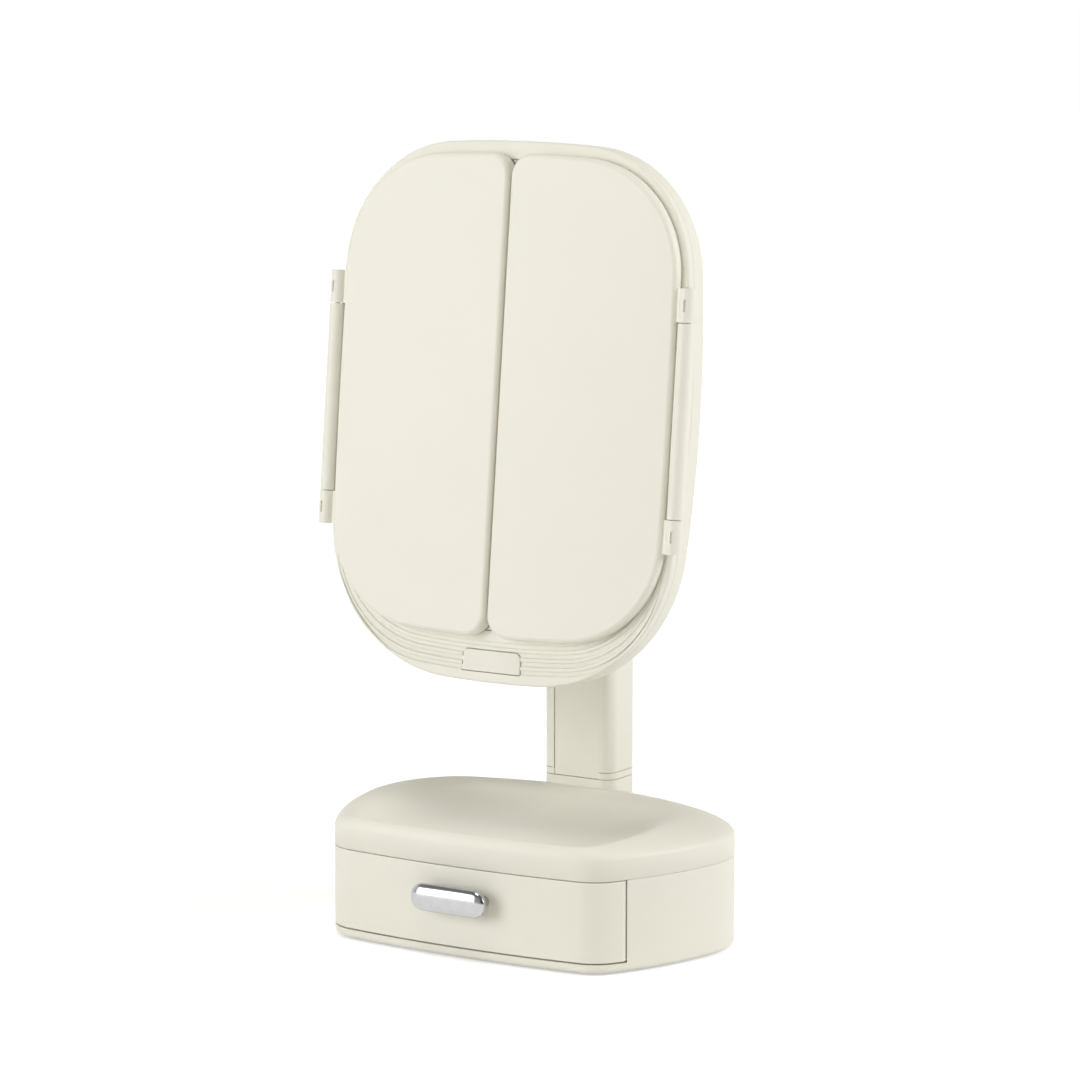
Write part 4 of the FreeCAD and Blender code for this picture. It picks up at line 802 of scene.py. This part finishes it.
def knuckle_slot(end):
    """Upright oval recess in the front of an end knuckle."""
    bm = bmesh.new()
    bmesh.ops.create_circle(bm, cap_ends=True, segments=24, radius=SLOT_WIDTH / 2)
    for vert in bm.verts:
        vert.co.y += math.copysign((SLOT_LENGTH - SLOT_WIDTH) / 2, vert.co.y)
    bmesh.ops.solidify(bm, geom=list(bm.faces), thickness=2 * SLOT_DEPTH)
    levels = [v.co.z for v in bm.verts]
    middle = end * (BARREL_HALF + HINGE_HALF) / 2
    bmesh.ops.translate(bm, vec=(0, 0, BARREL_RADIUS - (max(levels) + min(levels)) / 2),
                        verts=bm.verts)
    turned(bm, bm.verts, SLOT_TURN, "Y")
    bmesh.ops.translate(bm, vec=(HINGE_X, middle, 0), verts=bm.verts)
    return bm


def door_panel():
    """Right-hand door: crowned front, rounded edge, recess for its mirror, and its knuckles."""
    bm = door_outline(0.0, DOOR_BACK)
    top = raised(bm, DOOR_FRONT - DOOR_BACK)
    rounded(bm, [e for e in bm.edges if all(v in top for v in e.verts)], DOOR_EDGE, 7)
    near_seam, near_hinge = DOOR_PLAIN_STRIPS
    for i in range(near_seam, DOOR_STRIPS - near_hinge):
        sliced(bm, DOOR_SIZE[0] / 2 * i / DOOR_STRIPS)
    for vert in bm.verts:
        if vert.co.z > DOOR_BACK + 0.5:
            vert.co.z -= DOOR_CROWN_RADIUS - math.sqrt(DOOR_CROWN_RADIUS ** 2 - vert.co.x ** 2)
    recess = door_outline(DOOR_MIRROR_MARGIN, DOOR_BACK - CUT_OVERRUN)
    bmesh.ops.recalc_face_normals(recess, faces=recess.faces)
    raised(recess, CUT_OVERRUN + DOOR_MIRROR_THICKNESS)
    bm = carved(bm, [recess])
    knuckles = []
    for end in (-1, 1):
        near, far = end * (BARREL_HALF + KNUCKLE_GAP), end * HINGE_HALF
        knuckles.append(hinge_bar(BARREL_RADIUS, HINGE_X, near, far))
        knuckles.append(block((DOOR_SIZE[0] / 2 - DOOR_EDGE, near, DOOR_BACK),
                              (HINGE_X, far, KNUCKLE_WEB_TOP)))
    bm = carved(bm, knuckles, "UNION")
    return carved(bm, [knuckle_slot(end) for end in (-1, 1)])


def key_cap():
    """Light key: a flat cap with a soft front edge."""
    bm = key_block(0.0, LAND_BACK - KEY_OVERLAP, LAND_LEVEL)
    front = [e for e in bm.edges if all(abs(v.co.z - LAND_LEVEL) < TOUCH for v in e.verts)]
    rounded(bm, front, KEY_EDGE, 4)
    return bm


# ---------------------------------------------------------------- assembly

SHELL = dict(material=CREAM, slot="cream_shell")
TRIM = dict(material=CHROME, slot="chrome_trim")

piece("base_shell_finish", base_shell(), UPRIGHT, "base", "base_body", bevel=0.25, **SHELL)
piece("tray_cover_finish", tray_cover(), UPRIGHT, "base", "top_cover", smooth=50, **SHELL)
piece("drawer_face_finish", drawer_face(), UPRIGHT, "drawer", "drawer_front", bevel=0.5,
      segments=3, **SHELL)
piece("pull_finish", pull(), UPRIGHT, "drawer", "pull_bar", smooth=60, **TRIM)
piece("mirror_frame_finish", mirror_frame(), HEAD_PLANE, "head", "mirror_frame", smooth=30,
      bevel=0.15, **SHELL)
piece("right_door_finish", door_panel(), HEAD_PLANE, "right_door", "right_door_shell", bevel=0.2,
      **SHELL)
piece("left_door_finish", reflected(door_panel()), HEAD_PLANE, "left_door", "left_door_shell",
      bevel=0.2, **SHELL)
piece("power_key_finish", key_cap(), HEAD_PLANE, "key", "power_key", smooth=50, **SHELL)

for column_node in ("column_socket", "column_panel", "column_shell"):
    refined(column_node, bevel=0.3, **SHELL)
refined("rear_cover", bevel=0.2, **SHELL)
refined("neck_arm", NECK, "neck_metal", bevel=0.3)
refined("tilt_mount", NECK, "neck_metal", bevel=0.3)
refined("drawer_box", INNER, "inner_plastic", bevel=0.3)

KEPT = {
    STEEL: ["ballast_plate", "base_screws", "column_core", "column_bracket", "bracket_screws",
            "core_spacers", "neck_screws", "pull_screws", "rear_cover_screws", "mount_screws",
            "tilt_pin", "left_hinge_pins", "right_hinge_pins", "charge_inlet", "frame_magnets",
            "left_door_magnets", "right_door_magnets"],
    CHROME: ["pull_posts"],
    INNER: ["left_runner", "right_runner", "mirror_backing", "key_switch", "switch_plunger"],
    GLASS: ["main_mirror", "left_door_mirror", "right_door_mirror"],
    FROST: ["light_band"],
    TAPE: ["led_strip"],
    BOARD: ["control_board"],
    WRAP: ["battery_pack"],
    DARK: ["friction_washers"],
    RUBBER: ["rubber_feet"],
}
for finish, nodes in KEPT.items():
    for kept_node in nodes:
        for place in bpy.data.objects[kept_node].material_slots:
            place.material = finish


# ---------------------------------------------------------------- stage, light and camera

FLOOR_HALF = 6.0
FLOOR_TONE = 0.86
# How far from the middle the floor's own white starts and stops to grow, and its two levels.
FLOOR_LIFT = (0.3, 2.0, 0.45, 0.8)

LAMP_DISTANCE = 3.0
LAMP_TARGET = (0.0, 0.0, 0.2)
# Name, azimuth, elevation, side, what it adds to a white surface that faces it, and tint.
LAMPS = (("front_softbox", -30.0, 15.0, 1.8, 0.5, (0.96, 0.975, 1.0)),
         ("side_softbox", 110.0, 20.0, 1.4, 0.55, (0.96, 0.975, 1.0)),
         ("top_softbox", 20.0, 75.0, 1.2, 0.25, (1.0, 0.975, 0.92)))

AMBIENT = 0.33
AMBIENT_TINT = (1.0, 0.955, 0.85, 1.0)
# What metal and glass see: white behind the object; the room is grey in front, above and at the
# right. Each line: how far along the axis it starts and ends, and the share of white at both.
ROOM = (("Y", (-0.6, -0.1, 0.42, 1.0)),
        ("Z", (0.45, 0.8, 1.0, 0.25)),
        ("X", (0.5, 0.75, 1.0, 0.06)))

CAMERA_AZIMUTH = 31.97
CAMERA_ELEVATION = 8.53
CAMERA_DISTANCE = 2.238
CAMERA_TARGET = (0.00996, -0.00172, 0.21726)
CAMERA_LENS = 139.5
SENSOR_WIDTH = 36.0


def ray(shade, kind):
    """1 on a ray of one kind, 0 on any other."""
    return shade.node("ShaderNodeLightPath", {}, {}, "Is " + kind + " Ray")


def seen(shade):
    """1 where the camera, a reflection or clear glass looks at the backdrop, 0 where it lights."""
    looks = ray(shade, "Camera").math("MAXIMUM", ray(shade, "Glossy"))
    return looks.math("MAXIMUM", ray(shade, "Transmission"))


def floor():
    """Matte floor that shows as plain white where light falls on it, and still takes a shadow."""
    bm = bmesh.new()
    bmesh.ops.create_grid(bm, x_segments=1, y_segments=1, size=FLOOR_HALF)
    mesh = mesh_of("floor", bm)
    material = bpy.data.materials.new("floor_white")
    shade = Shade(material)
    away = shade.node("ShaderNodeVectorMath", {"operation": "LENGTH"}, [shade.place], "Value")
    lift = shade.ramp(away, *FLOOR_LIFT) * seen(shade)
    shade.set(Base_Color=(FLOOR_TONE, FLOOR_TONE, FLOOR_TONE, 1.0), Roughness=0.9,
              Specular_IOR_Level=0.0, Emission_Color=shade.mixed(lift, BLACK, WHITE),
              Emission_Strength=1.0)
    mesh.materials.append(material)
    linked("floor", mesh)


def aimed(obj, target, azimuth, elevation, distance):
    """Sets an object at a distance from a target, round from the front and up, facing it."""
    azimuth, elevation = math.radians(azimuth), math.radians(elevation)
    away = Vector((math.sin(azimuth) * math.cos(elevation),
                   -math.cos(azimuth) * math.cos(elevation), math.sin(elevation)))
    obj.location = Vector(target) + away * distance
    obj.rotation_euler = (-away).to_track_quat("-Z", "Y").to_euler()


def softbox(name, azimuth, elevation, size, level, tint):
    """Square lamp, aimed at the object."""
    data = bpy.data.lights.new(name, "AREA")
    data.shape = "SQUARE"
    data.size = size
    data.color = tint
    data.energy = level * math.pi ** 2 * LAMP_DISTANCE ** 2
    obj = linked(name, data)
    obj.visible_camera = False
    aimed(obj, LAMP_TARGET, azimuth, elevation, LAMP_DISTANCE)


def studio_world():
    """Even warm light; the camera sees white, and metal and glass see a grey and white room."""
    world = bpy.data.worlds.new("studio")
    bpy.context.scene.world = world
    shade = Shade(world, "World Output", "Generated")
    room = 1.0
    for axis, stops in ROOM:
        along = shade.node("ShaderNodeSeparateXYZ", {}, [shade.place], axis)
        room = room * shade.ramp(along, *stops)
    shown = room.math("MAXIMUM", ray(shade, "Camera"))
    light = shade.node("ShaderNodeBackground", {}, {"Color": AMBIENT_TINT, "Strength": AMBIENT})
    view = shade.node("ShaderNodeBackground", {},
                      {"Color": shade.mixed(shown, BLACK, WHITE), "Strength": 1.0})
    shade.set(Surface=shade.node("ShaderNodeMixShader", {}, [seen(shade), light, view]))


def camera():
    """Long lens from the front right, a little above."""
    data = bpy.data.cameras.new("camera")
    data.sensor_width = SENSOR_WIDTH
    data.lens = CAMERA_LENS
    data.clip_end = 50.0
    obj = linked("camera", data)
    aimed(obj, CAMERA_TARGET, CAMERA_AZIMUTH, CAMERA_ELEVATION, CAMERA_DISTANCE)
    bpy.context.scene.camera = obj


floor()
for lamp in LAMPS:
    softbox(*lamp)
studio_world()
camera()
bpy.context.scene.view_settings.view_transform = "Standard"
